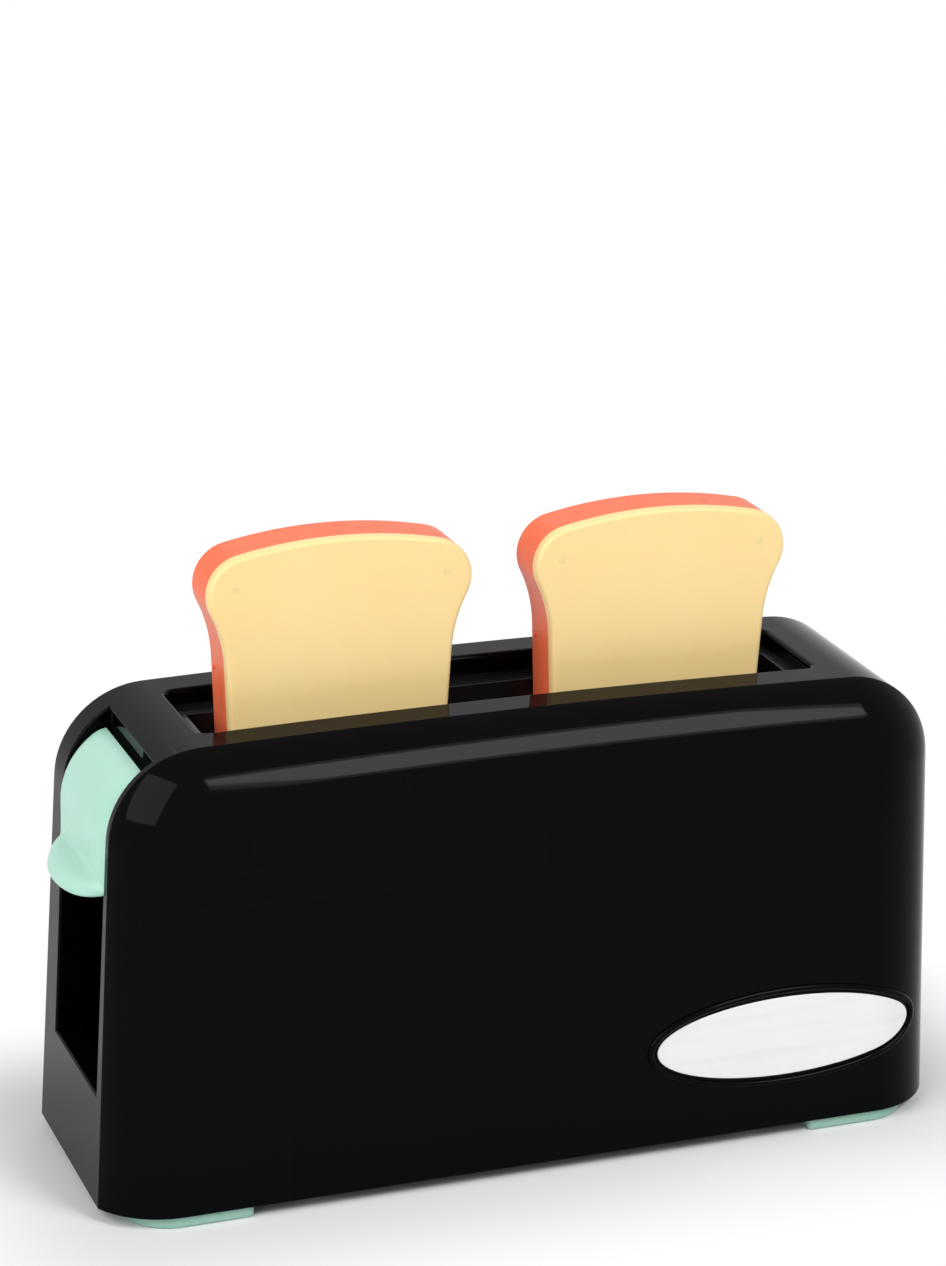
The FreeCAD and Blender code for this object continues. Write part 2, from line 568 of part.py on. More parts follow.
def thumb_lip():
    """Crescent that a thumb presses: a ski-jump profile turned about an upright axis behind the cover."""
    nose = LIP_PLAN_RADIUS
    root = nose - LIP_REACH - LEVER_THICK / 2
    low = LEVER_BOTTOM
    high = low + LIP_HEIGHT
    peak = Vector(root, 0, high + LIP_SCOOP)
    shelf = Vector(nose - LIP_BREAK, 0, high)
    slope = peak - shelf
    hollow = (peak + shelf) * 0.5 - Vector(slope.z, 0, -slope.x).normalize() * LIP_SAG
    corners = [Vector(root, 0, low), Vector(nose, 0, low), Vector(nose, 0, high - LIP_BREAK), shelf, hollow, peak]
    profile = Part.Face(Part.makePolygon(corners + corners[:1]))
    profile.rotate(Vector(0, 0, 0), Vector(0, 0, 1), 90)
    lip = profile.revolve(Vector(0, 0, 0), Vector(0, 0, 1), 180)
    lip.translate(Vector(lever_face_x() - LIP_REACH + LIP_PLAN_RADIUS, 0, 0))
    half = LEVER_WIDTH / 2
    return lip.common(box(-FAR, lever_face_x() + LEVER_THICK / 2, -half, half, 0, FAR))


def lever_cover():
    """Curled cover that fills the window, with a thumb lip in front and two pegs behind."""
    face_x = lever_face_x()
    curl_x = face_x + LEVER_RADIUS
    inner = LEVER_RADIUS - LEVER_THICK
    end = math.asin(LEVER_RISE / LEVER_RADIUS)

    def on_curl(radius, angle):
        return Vector(curl_x - radius * math.cos(angle), 0, LEVER_CURL + radius * math.sin(angle))

    def curl_arc(radius, start, finish):
        points = [on_curl(radius, angle) for angle in (start, end / 2, finish)]
        return Part.Arc(points[0], points[1], points[2]).toShape()

    outer_low = Vector(face_x, 0, LEVER_BOTTOM)
    inner_low = Vector(face_x + LEVER_THICK, 0, LEVER_BOTTOM)
    half = LEVER_WIDTH / 2
    cover = prism_y([
        Part.LineSegment(outer_low, on_curl(LEVER_RADIUS, 0)).toShape(),
        curl_arc(LEVER_RADIUS, 0, end),
        Part.LineSegment(on_curl(LEVER_RADIUS, end), on_curl(inner, end)).toShape(),
        curl_arc(inner, end, 0),
        Part.LineSegment(on_curl(inner, 0), inner_low).toShape(),
        Part.LineSegment(inner_low, outer_low).toShape(),
    ], -half, half)

    def faces_out(edge):
        middle = edge.valueAt((edge.FirstParameter + edge.LastParameter) / 2)
        straight = middle.z < LEVER_CURL and abs(middle.x - face_x) < 0.01
        curled = abs(math.hypot(middle.x - curl_x, middle.z - LEVER_CURL) - LEVER_RADIUS) < 0.01
        return edge.BoundBox.YLength < 0.01 and (straight or curled and middle.z > LEVER_CURL)

    cover = cover.makeChamfer(LEVER_EDGE, [e for e in cover.Edges if faces_out(e)])
    back = face_x + LEVER_THICK / 2
    return joined([cover, thumb_lip()] + lever_pegs(back, face_x + LEVER_THICK + LEVER_PLATE_THICK, LEVER_PEG))


# ---------------------------------------------------------------- rods and springs
def guide_rod(x):
    return post(x, 0, FOOT_HEIGHT + ROD_SEAT, STOP + SOCKET_DEPTH, ROD_RADIUS)


def return_spring(x):
    """Open coil between the base plate's boss and the bush."""
    half = SPRING_WIRE / 2
    radius = ROD_RADIUS + SPRING_GAP + half
    low = BOSS_TOP + half
    pitch = (BUSH_BOTTOM - SPRING_TOP_GAP - half - low) / SPRING_TURNS
    path = []
    for step in range(SPRING_TURNS * TURN_STEPS + 1):
        angle = 2 * math.pi * step / TURN_STEPS
        path.append(Vector(radius * math.cos(angle), radius * math.sin(angle), pitch * step / TURN_STEPS))
    corners = [Vector(radius + a * half, 0, b * half) for a, b in ((-1, -1), (1, -1), (1, 1), (-1, 1), (-1, -1))]
    section = Part.makePolygon(corners)
    coil = Part.makePolygon(path).makePipeShell([section], True, False, 1)
    coil.translate(Vector(x, 0, low))
    return coil


# ---------------------------------------------------------------- toast slices
def bread_outline():
    """Closed outline of a slice in the XZ plane, foot on z = 0.

    Foot with two corner arcs, sides that open upwards, a hollow neck under each shoulder lobe and
    one flat crown arc between the lobes, all tangent to each other.
    """
    flare = math.radians(TOAST_FLARE)
    foot = Vector(TOAST_FOOT_WIDTH / 2 - TOAST_FOOT_RADIUS, 0, TOAST_FOOT_RADIUS)
    lobe = Vector(TOAST_WIDTH / 2 - LOBE_RADIUS, 0, TOAST_HEIGHT - LOBE_BELOW_TOP)
    # each side is a straight line that touches the foot arc
    normal = Vector(math.cos(flare), 0, -math.sin(flare))
    along = Vector(math.sin(flare), 0, math.cos(flare))
    side = normal.dot(foot) + TOAST_FOOT_RADIUS
    # the neck's centre lies NECK_RADIUS outside that line and touches the lobe
    base = normal * (side + NECK_RADIUS)
    offset = (lobe - base).dot(normal)
    rise = (lobe - base).dot(along) - math.sqrt((NECK_RADIUS + LOBE_RADIUS) ** 2 - offset ** 2)
    neck = base + along * rise
    # the crown arc encloses both lobes and peaks in the middle
    crown = (lobe.x ** 2 + LOBE_BELOW_TOP ** 2 - LOBE_RADIUS ** 2) / (2 * (LOBE_BELOW_TOP - LOBE_RADIUS))
    to_neck = math.atan2(neck.z - lobe.z, neck.x - lobe.x)
    to_crown = math.atan2(lobe.z - TOAST_HEIGHT + crown, lobe.x)

    def arc(centre, radius, start, finish):
        angles = (start, (start + finish) / 2, finish)
        return [centre + Vector(math.cos(a), 0, math.sin(a)) * radius for a in angles]

    foot_arc = arc(foot, TOAST_FOOT_RADIUS, -math.pi / 2, -flare)
    neck_arc = arc(neck, NECK_RADIUS, math.pi - flare, math.pi + to_neck)
    lobe_arc = arc(lobe, LOBE_RADIUS, to_neck, to_crown)
    edges = []
    for mirror in (1, -1):
        foot_pts, neck_pts, lobe_pts = [[Vector(mirror * p.x, 0, p.z) for p in points]
                                        for points in (foot_arc, neck_arc, lobe_arc)]
        edges += [Part.Arc(*points).toShape() for points in (foot_pts, neck_pts, lobe_pts)]
        edges.append(Part.LineSegment(foot_pts[2], neck_pts[0]).toShape())
    left_end = Vector(-lobe_arc[2].x, 0, lobe_arc[2].z)
    edges.append(Part.Arc(lobe_arc[2], Vector(0, 0, TOAST_HEIGHT), left_end).toShape())
    edges.append(Part.LineSegment(Vector(-foot.x, 0, 0), Vector(foot.x, 0, 0)).toShape())
    return Part.__sortEdges__(edges)


def toast_crumb(x):
    """Pale front layer with a bevelled rim."""
    front = -TOAST_THICK / 2
    crumb = prism_y(bread_outline(), front, front + CRUMB_THICK)
    rim = [e for e in crumb.Edges if e.BoundBox.YMax < front + 0.01]
    crumb = crumb.makeChamfer(SLICE_BREAK, rim)
    crumb.translate(Vector(x, 0, SEAT))
    return crumb


def toast_crust(x):
    """Crust behind the crumb, the full outline of the slice."""
    crust = prism_y(bread_outline(), -TOAST_THICK / 2 + CRUMB_THICK, TOAST_THICK / 2)
    crust.translate(Vector(x, 0, SEAT))
    return crust


# ---------------------------------------------------------------- build
def main():
    os.makedirs("parts", exist_ok=True)
    save("housing_shell", housing_shell())
    save("badge_plate", badge_plate())
    save("toast_guide", toast_guide())
    save("base_plate", base_plate())
    for name, (x, y) in foot_places().items():
        save(name, corner_foot(x, y))
    save("base_screws", screw_group(base_screw_places(), FOOT_HEIGHT, BASE_SCREW_LENGTH))
    save("guide_screws", screw_group(guide_screw_places(), GUIDE_UNDER, GUIDE_SCREW_LENGTH))
    for side, x in zip(("left", "right"), ROD_CENTRES):
        save("guide_rod_" + side, guide_rod(x))
        save("return_spring_" + side, return_spring(x))
    save("carriage_frame", carriage_frame())
    save("lever_cover", lever_cover())
    for side, x in zip(("left", "right"), TOAST_CENTRES):
        save("toast_crust_" + side, toast_crust(x))
        save("toast_crumb_" + side, toast_crumb(x))


main()
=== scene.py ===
"""Toy pop-up toaster: smooth pieces and finishes built round the fixed frame of its solids."""

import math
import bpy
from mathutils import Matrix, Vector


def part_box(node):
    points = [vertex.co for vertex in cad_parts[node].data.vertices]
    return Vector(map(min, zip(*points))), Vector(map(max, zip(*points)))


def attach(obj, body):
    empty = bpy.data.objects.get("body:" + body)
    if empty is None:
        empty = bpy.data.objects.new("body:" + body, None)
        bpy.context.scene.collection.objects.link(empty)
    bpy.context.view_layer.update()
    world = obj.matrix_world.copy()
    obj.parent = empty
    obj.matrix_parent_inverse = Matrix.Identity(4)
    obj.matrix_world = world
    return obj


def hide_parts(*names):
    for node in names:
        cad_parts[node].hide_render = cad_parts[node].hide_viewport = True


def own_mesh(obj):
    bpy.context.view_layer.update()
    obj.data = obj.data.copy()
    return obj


bl_info = {
    "name": "Toy Toaster",
    "version": (1, 0, 0),
    "blender": (4, 5, 0),
    "location": "View3D > Sidebar > Toaster",
    "description": "Builds a toy pop-up toaster piece by piece round its fixed frame",
    "category": "Add Mesh",
}

from collections import namedtuple

import bmesh
import bpy
from bpy.props import FloatProperty, FloatVectorProperty, PointerProperty
from mathutils import Matrix, Vector

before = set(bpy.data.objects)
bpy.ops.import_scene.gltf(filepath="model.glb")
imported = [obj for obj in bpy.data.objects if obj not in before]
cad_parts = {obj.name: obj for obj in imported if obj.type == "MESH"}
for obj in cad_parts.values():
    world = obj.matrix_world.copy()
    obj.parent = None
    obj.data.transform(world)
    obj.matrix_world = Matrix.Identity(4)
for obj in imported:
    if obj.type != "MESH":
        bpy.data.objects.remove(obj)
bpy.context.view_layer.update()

MM = 0.001
WELD = 2e-6              # metres; points nearer than this are one point
NORMALS = "piece_normal"
UP = Vector((0, 0, 1))

PILLAR_X, PILLAR_Y = 52.0 * MM, 27.6 * MM                # screw pillars of the base plate
PILLAR_HALF, PILLAR_LOW, PILLAR_HIGH = 3.4 * MM, 5.4 * MM, 41.4 * MM
WEB_HALF, WEB_LOW, WEB_REACH = 0.8 * MM, 8.7 * MM, 32.4 * MM
BOSS_INSET, BOSS_HALF, BOSS_SUNK = 16.5 * MM, 3.0 * MM, 0.5 * MM
BASE_SCREW_Z, BASE_SCREW_LENGTH = 3.0 * MM, 10.0 * MM
GUIDE_SCREWS, GUIDE_SCREW_LENGTH = ((-57.4, -18.5, 101.2), (54.6, 18.5, 101.2)), 5.2 * MM
MOULD_MARKS = ((-24.0, 55.0), (24.0, 55.0), (-20.5, 5.2), (20.5, 5.2))
GATE_RISE, GATE_Y = 34.5 * MM, 3.5 * MM
PEG_Y, PEG_HALF, PEG_LOW, PEG_HIGH = 6.5 * MM, 2.0 * MM, 76.5 * MM, 80.5 * MM
PEG_START, PEG_REACH = 1.5 * MM, 5.9 * MM                # of the lever's pegs, behind the cover's face
LINING_SUNK = 0.4 * MM                  # of the lever window's lining, below the wall's inner side
LINING_STEP, LINING_TOP = 5.0 * MM, 4.0 * MM             # where the lining turns in under the top
EDGE_SOFT = 0.25 * MM                   # edges of the inner mouldings
CREASE = math.radians(38)               # edges that turn more than this stay sharp on the lever cover
WIRE_RADIUS = 0.45 * MM

Row = namedtuple("Row", "kind side value")


# ------------------------------------------------------------------ sizes and colours
def length(name, description, millimetres):
    """Size in the panel, given in millimetres."""
    return FloatProperty(name=name, description=description, default=millimetres * MM, unit="LENGTH",
                         precision=5)


def turn(name, description, degrees):
    """Angle in the panel, given in degrees."""
    return FloatProperty(name=name, description=description, default=math.radians(degrees), unit="ROTATION")


def colour(name, description, value):
    """Colour in the panel."""
    return FloatVectorProperty(name=name, description=description, default=value, subtype="COLOR",
                               min=0.0, max=1.0)


class HousingSizes(bpy.types.PropertyGroup):
    rim_length: length("Length", "Length of the housing at its lower rim", 200.0)
    height: length("Height", "From the lower rim to the crown of the top", 104.7)
    band_depth: length("Band depth", "Between the crisp edges of the two faces, at the lower rim", 48.6)
    end_draft: turn("End draft", "How far each end leans in", 2.4)
    face_draft: turn("Face draft", "How far the front and back faces lean in", 1.3)
    corner_radius: length("Corner radius", "Upper corners, seen from the front", 20.7)
    crown_fall: length("Crown fall", "How far the top falls within the crown's reach", 1.0)
    crown_reach: length("Crown reach", "Distance from the middle at which the fall is measured", 75.0)
    face_radius: length("Face radius", "Rounding that carries each face out from the band", 19.0)
    face_sweep: turn("Face sweep", "Angle of that rounding", 61.0)
    edge_radius: length("Edge radius", "Softening of the crisp edge between face and band", 0.7)
    wall: length("Wall", "Thickness of the moulding", 2.2)
    rim_height: length("Rim height", "Lower rim above the floor", 3.0)
    slot_centre: length("Slot centre", "Middle of the slot along the length", -1.4)
    slot_length: length("Slot length", "Length of the toast slot", 145.0)
    slot_width: length("Slot width", "Width of the toast slot", 27.4)
    slot_corner: length("Slot corner", "Rounding of the slot's four corners", 2.4)
    mouth_round: length("Mouth rounding", "Rounding along the slot's mouth", 1.1)
    collar_wall: length("Collar wall", "Thickness of the skirt under the mouth", 1.8)
    collar_low: length("Collar underside", "Height of the skirt's underside", 103.2)
    window_half: length("Window half width", "Half of the lever window's width", 17.1)
    window_shift: length("Window shift", "Middle of window and lever across the depth", -2.6)
    window_sill: length("Window sill", "Height of the window's lower edge", 28.0)
    window_reach: length("Window reach", "Upper end of the window, in from the lower rim's end", 14.0)
    window_round: length("Window rounding", "Softening of the window's edge", 0.6)
    cheek_wall: length("Cheek wall", "Thickness of the walls that line the window", 1.6)
    cheek_depth: length("Cheek depth", "Depth of those walls at the end", 7.0)
    cheek_low: length("Cheek underside", "Lower edge of the wall at the window's upper end", 97.7)


class BadgeSizes(bpy.types.PropertyGroup):
    centre_x: length("Centre along the length", "Middle of the badge along the length", 59.3)
    centre_z: length("Centre height", "Middle of the badge above the floor", 25.6)
    half_length: length("Half length", "Half of the badge's length", 31.8)
    half_width: length("Half width", "Half of the badge's width", 9.6)
    proud: length("Proud", "How far the badge stands proud of the face", 0.3)
    depth: length("Depth", "How far the badge is let into the face", 0.9)
    bead_gap: length("Bead gap", "Land between badge and bead", 0.8)
    bead_width: length("Bead width", "Width of the raised ring", 1.6)
    bead_proud: length("Bead height", "Height of the raised ring", 0.7)


class SliceSizes(bpy.types.PropertyGroup):
    width: length("Width", "Widest part of a slice", 60.2)
    height: length("Height", "Height of a slice", 64.5)
    thick: length("Thickness", "Thickness of a slice", 13.0)
    gap: length("Gap", "Space between the two slices", 15.0)
    middle: length("Middle", "Middle between the two slices along the length", -2.0)
    foot_width: length("Foot width", "Width at the foot", 48.7)
    foot_radius: length("Foot corner", "Rounding of the foot's corners", 7.2)
    flare: turn("Flare", "How far the sides open upwards", 2.9)
    lobe_radius: length("Lobe radius", "Shoulders of the outline", 8.9)
    lobe_drop: length("Lobe drop", "Centres of the shoulders below the crown", 11.2)
    neck_radius: length("Neck radius", "Hollow under the shoulders", 32.0)
    crumb_thick: length("Crumb thickness", "Thickness of the pale front layer", 2.6)
    crumb_round: length("Crumb rounding", "Rounding round the pale front face", 1.0)
    crust_round: length("Crust rounding", "Rounding round the back of the crust", 1.0)
    seat: length("Seat", "Height of a slice's foot above the floor", 80.5)
    joint_round: length("Joint rounding", "Fine groove between crumb and crust", 0.22)


class LeverSizes(bpy.types.PropertyGroup):
    width: length("Width", "Width of the lever cover", 33.4)
    thick: length("Thickness", "Thickness of the cover", 3.0)
    face_x: length("Face", "Place of the cover's upright face along the length", -97.505)
    low: length("Lower edge", "Height of the cover's lower edge", 72.0)
    curl_z: length("Curl height", "Height at which the curl over the corner starts", 84.0)
    curl_radius: length("Curl radius", "Outer radius of the curl", 17.9)
    curl_rise: length("Curl rise", "Upper edge of the cover above the start of the curl", 16.2)
    lip_plan_radius: length("Lip plan radius", "Radius of the thumb lip, seen from above", 25.2)
    lip_reach: length("Lip reach", "How far the lip stands out from the cover", 6.4)
    lip_height: length("Lip height", "Height of the lip's nose", 5.6)
    lip_scoop: length("Lip scoop", "Height of the hollow above the nose", 2.4)
    lip_round: length("Lip rounding", "Rounding of the nose's upper rim", 4.4)
    lip_sag: length("Lip sag", "Depth of the hollow", 0.5)
    lip_under: length("Lip underside", "Rounding of the nose's lower rim", 1.2)
    near_round: length("Near rounding", "Width of the rounding along the edge next to the front face", 9.0)
    near_drop: length("Near drop", "Depth of that rounding", 2.6)
    far_round: length("Far rounding", "Width of the rounding along the other long edge", 1.4)
    far_drop: length("Far drop", "Depth of that rounding", 0.6)


class FinishColours(bpy.types.PropertyGroup):
    gloss_black: colour("Housing", "Glossy housing", (0.0008, 0.0008, 0.0013))
    inner_black: colour("Inner mouldings", "Guide, carriage and base plate", (0.0070, 0.0070, 0.0080))
    mint: colour("Mint", "Lever cover", (0.425, 0.720, 0.590))
    # Mint darkened to paint the shade that the housing's overhang casts on the feet
    feet: colour("Feet", "Corner feet", (0.290, 0.500, 0.415))
    badge_white: colour("Badge", "Badge plate", (0.84, 0.84, 0.85))
    crumb: colour("Crumb", "Pale front of the slices", (0.945, 0.705, 0.330))
    crust: colour("Crust", "Back and rim of the slices", (0.930, 0.175, 0.075))
    zinc: colour("Zinc", "Screws and guide rods", (0.60, 0.60, 0.60))
    wire: colour("Wire", "Return springs", (0.46, 0.46, 0.47))


# ------------------------------------------------------------------ meshes with exact normals
class Skin:
    """Collects faces with the normals of the form that they follow, and welds them into one mesh."""

    def __init__(self):
        self.bm = bmesh.new()
        self.layer = self.bm.loops.layers.float_vector.new(NORMALS)

    def face(self, corners):
        """Adds one face from (place, normal) pairs and turns it to the side of its normals."""
        area = Vector()
        for (a, _), (b, _) in zip(corners, corners[1:] + corners[:1]):
            area += a.cross(b)
        facing = sum((normal for _, normal in corners), Vector())
        if area.length < 1e-13:
            return
        if area.dot(facing) < 0:
            corners = corners[::-1]
        made = self.bm.faces.new([self.bm.verts.new(place) for place, _ in corners])
        made.smooth = True
        for loop, (_, normal) in zip(made.loops, corners):
            loop[self.layer] = normal

    def sheet(self, rows, closed=False):
        """Quads between rows of (place, normal) pairs."""
        for low, high in zip(rows, rows[1:]):
            count = len(low)
            for k in range(count if closed else count - 1):
                n = (k + 1) % count
                self.face([low[k], low[n], high[n], high[k]])

    def slab(self, outline, levels, place):
        """Closed solid from one outline. Each level is (inset, height, tilt of its normal)."""
        turned = place.to_3x3()
        rings = []
        for inset, height, tilt in levels:
            ring = []
            for (u, v), (nu, nv) in outline:
                normal = Vector((nu * math.cos(tilt), nv * math.cos(tilt), math.sin(tilt)))
                ring.append((place @ Vector((u - nu * inset, v - nv * inset, height)), turned @ normal))
            rings.append(ring)
        for low, high in zip(rings, rings[1:]):
            self.sheet([low, high], closed=True)
        for ring, side in ((rings[0], -1), (rings[-1], 1)):
            flat = turned @ Vector((0, 0, side))
            self.face([(spot, flat) for spot, _ in ring])

    def block(self, low, high, soft=0.3 * MM):
        """Closed box with softened edges."""
        half_u, half_v = (high[0] - low[0]) / 2, (high[1] - low[1]) / 2
        place = Matrix.Translation(((low[0] + high[0]) / 2, (low[1] + high[1]) / 2, 0))
        outline = rounded_rectangle(half_u, half_v, [soft] * 4, 2)
        self.slab(outline, rounded_levels(low[2], high[2], soft, soft, 2), place)

    def mesh(self, name, exact=True):
        """Welded mesh, with the collected normals or else with sharp edges where the form turns."""
        bmesh.ops.remove_doubles(self.bm, verts=self.bm.verts[:], dist=WELD)
        bmesh.ops.dissolve_degenerate(self.bm, edges=self.bm.edges[:], dist=WELD)
        mesh = bpy.data.meshes.new(name)
        self.bm.to_mesh(mesh)
        self.bm.free()
        layer = mesh.attributes[NORMALS]
        values = [0.0] * (3 * len(mesh.loops))
        layer.data.foreach_get("vector", values)
        mesh.attributes.remove(layer)
        if exact:
            mesh.normals_split_custom_set([values[k:k + 3] for k in range(0, len(values), 3)])
        else:
            mesh.set_sharp_from_angle(angle=CREASE)
        return mesh


def rounded_rectangle(half_u, half_v, radii, steps):
    """Outline with its outward normals, from the corner at +u +v on, anticlockwise."""
    outline = []
    for quarter, radius in enumerate(radii):
        su = (1, -1, -1, 1)[quarter]
        sv = (1, 1, -1, -1)[quarter]
        centre_u, centre_v = su * (half_u - radius), sv * (half_v - radius)
        for step in range(steps + 1):
            angle = math.pi / 2 * (quarter + step / steps)
            nu, nv = math.cos(angle), math.sin(angle)
            outline.append(((centre_u + radius * nu, centre_v + radius * nv), (nu, nv)))
    return outline


def rounded_levels(low, high, low_round, high_round, steps=4):
    """Levels of a slab from low to high, with rounded edges at both."""
    levels = []
    for step in range(steps + 1):
        tilt = -math.pi / 2 * (1 - step / steps)
        levels.append((low_round * (1 - math.cos(tilt)), low + low_round * (1 + math.sin(tilt)), tilt))
    for step in range(steps + 1):
        tilt = math.pi / 2 * step / steps
        levels.append((high_round * (1 - math.cos(tilt)), high - high_round * (1 - math.sin(tilt)), tilt))
    return levels


def place_piece(name, mesh, body, finish_name, node):
    """Puts a finished mesh on its body, in place of the node that it stands for."""
    piece = bpy.data.objects.new(name, mesh)
    bpy.context.scene.collection.objects.link(piece)
    mesh.materials.clear()
    mesh.materials.append(finish(finish_name))
    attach(piece, body)
    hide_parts(node)
    return piece


# ------------------------------------------------------------------ form of the housing
class HousingForm:
    """The housing's outer form: a flat band whose outline is carried round into two bulged faces."""

    def __init__(self, size):
        self.size = size
        self.lean = size.end_draft
        self.slope = math.tan(self.lean)
        self.crown = (size.crown_reach ** 2 + size.crown_fall ** 2) / (2 * size.crown_fall)
        self.crown_z = size.height - self.crown
        start = size.rim_length / 2 - size.corner_radius / math.cos(self.lean)
        a = 1 + self.slope ** 2
        b = -2 * (start * self.slope + self.crown_z)
        c = start ** 2 + self.crown_z ** 2 - (self.crown - size.corner_radius) ** 2
        self.corner_z = (-b + math.sqrt(b * b - 4 * a * c)) / (2 * a)
        self.corner_x = start - self.corner_z * self.slope
        self.top_angle = math.atan2(self.corner_z - self.crown_z, self.corner_x)
        self.reach = size.face_radius * math.sin(size.face_sweep)

    def outline(self, row, inset, setback):
        """Place (x, z) and outward normal of a row on the outline, inset from the outer form."""
        radius = self.size.corner_radius - inset
        if row.kind == "end":
            low = setback * math.tan(self.size.face_draft)
            high = self.corner_z + radius * math.sin(self.lean)
            z = low + row.value * (high - low)
            x = self.size.rim_length / 2 - z * self.slope - inset / math.cos(self.lean)
            return (row.side * x, z), (row.side * math.cos(self.lean), math.sin(self.lean))
        if row.kind == "corner":
            c, s = math.cos(row.value), math.sin(row.value)
            return (row.side * (self.corner_x + radius * c), self.corner_z + radius * s), (row.side * c, s)
        c, s = math.cos(row.value), math.sin(row.value)
        return ((self.crown - inset) * s, self.crown_z + (self.crown - inset) * c), (s, c)

    def stand(self, x, setback, z, side=-1):
        """World place of a point of the leaning face's own frame."""
        draft = self.size.face_draft
        y = -self.size.band_depth / 2 + setback * math.cos(draft) + z * math.sin(draft)
        return Vector((x, -side * y, self.size.rim_height - setback * math.sin(draft) + z * math.cos(draft)))

    def stand_normal(self, normal, side=-1):
        """World direction of a direction in the leaning face's own frame."""
        draft = self.size.face_draft
        y = normal[1] * math.cos(draft) + normal[2] * math.sin(draft)
        return Vector((normal[0], -side * y, -normal[1] * math.sin(draft) + normal[2] * math.cos(draft)))

    def band_normal(self, normal):
        """World normal of the flat band from the outline's normal."""
        return Vector((normal[0] * math.cos(self.size.face_draft), 0, normal[1])).normalized()

    def outer_levels(self, steps=12, edge_steps=4):
        """(inset, setback, angle, share of the band's normal) from the flat face to the band."""
        size = self.size
        cut = size.edge_radius * math.tan((math.pi / 2 - size.face_sweep) / 2)
        last = size.face_sweep - cut / size.face_radius
        levels = []
        for step in range(steps + 1):
            angle = last * step / steps
            levels.append((self.reach - size.face_radius * math.sin(angle),
                           size.face_radius * (math.cos(size.face_sweep) - math.cos(angle)), angle, 0.0))
        inset, setback = levels[-1][:2]
        for step in range(1, edge_steps + 1):
            share = step / edge_steps
            rest = (1 - share) ** 2
            levels.append((inset * rest, setback * rest + cut * share ** 2, last, share))
        return levels

    def inner_levels(self, count):
        """Levels of the wall's inner side, as many as the outer side has."""
        size = self.size
        radius = size.face_radius - size.wall
        last = math.asin((self.reach - size.wall) / radius)
        levels = []
        for step in range(count):
            angle = last * step / (count - 1)
            levels.append((self.reach - radius * math.sin(angle),
                           size.face_radius * math.cos(size.face_sweep) - radius * math.cos(angle), angle, 0.0))
        return levels

    def vertex(self, row, level, side, facing):
        """World place and normal of a row at a level of one face."""
        inset, setback, angle, share = level
        (x, z), (nx, nz) = self.outline(row, inset, setback)
        normal = self.stand_normal((nx * math.sin(angle), -math.cos(angle), nz * math.sin(angle)), side)
        if share:
            normal = normal.lerp(self.band_normal((nx, nz)), share).normalized()
        return self.stand(x, setback, z, side), normal * facing

    def end_share(self, world_z, inset):
        """Share of the end line, from the rim to the corner, at a world height on the band."""
        z = (world_z - self.size.rim_height) / math.cos(self.size.face_draft)
        return z / (self.corner_z + (self.size.corner_radius - inset) * math.sin(self.lean))

    def corner_turn(self, x, inset):
        """Angle at which the upper corner stands over a world x."""
        return math.acos((abs(x) - self.corner_x) / (self.size.corner_radius - inset))

    def crown_turn(self, x, inset):
        """Angle at which the crown stands over a world x."""
        return math.asin(x / (self.crown - inset))

    def top_z(self, x, inset):
        """World height of the top at a world x."""
        (_, z), _ = self.outline(Row("crown", 1, self.crown_turn(x, inset)), inset, 0)
        return self.size.rim_height + z * math.cos(self.size.face_draft)

    def on_front(self, x, z):
        """Place and normal on the lower front face at a world x and z."""
        size = self.size
        setback = 0.0
        for _ in range(6):
            local_z = (z - size.rim_height + setback * math.sin(size.face_draft)) / math.cos(size.face_draft)
            inset = (size.rim_length / 2 - local_z * self.slope - abs(x)) * math.cos(self.lean)
            angle = math.asin(max(0.0, min(1.0, (self.reach - inset) / size.face_radius)))
            setback = size.face_radius * (math.cos(size.face_sweep) - math.cos(angle))
        side = math.copysign(math.sin(angle), x)
        normal = self.stand_normal((side * math.cos(self.lean), -math.cos(angle),
                                    math.sin(angle) * math.sin(self.lean)))
        return self.stand(x, setback, local_z), normal


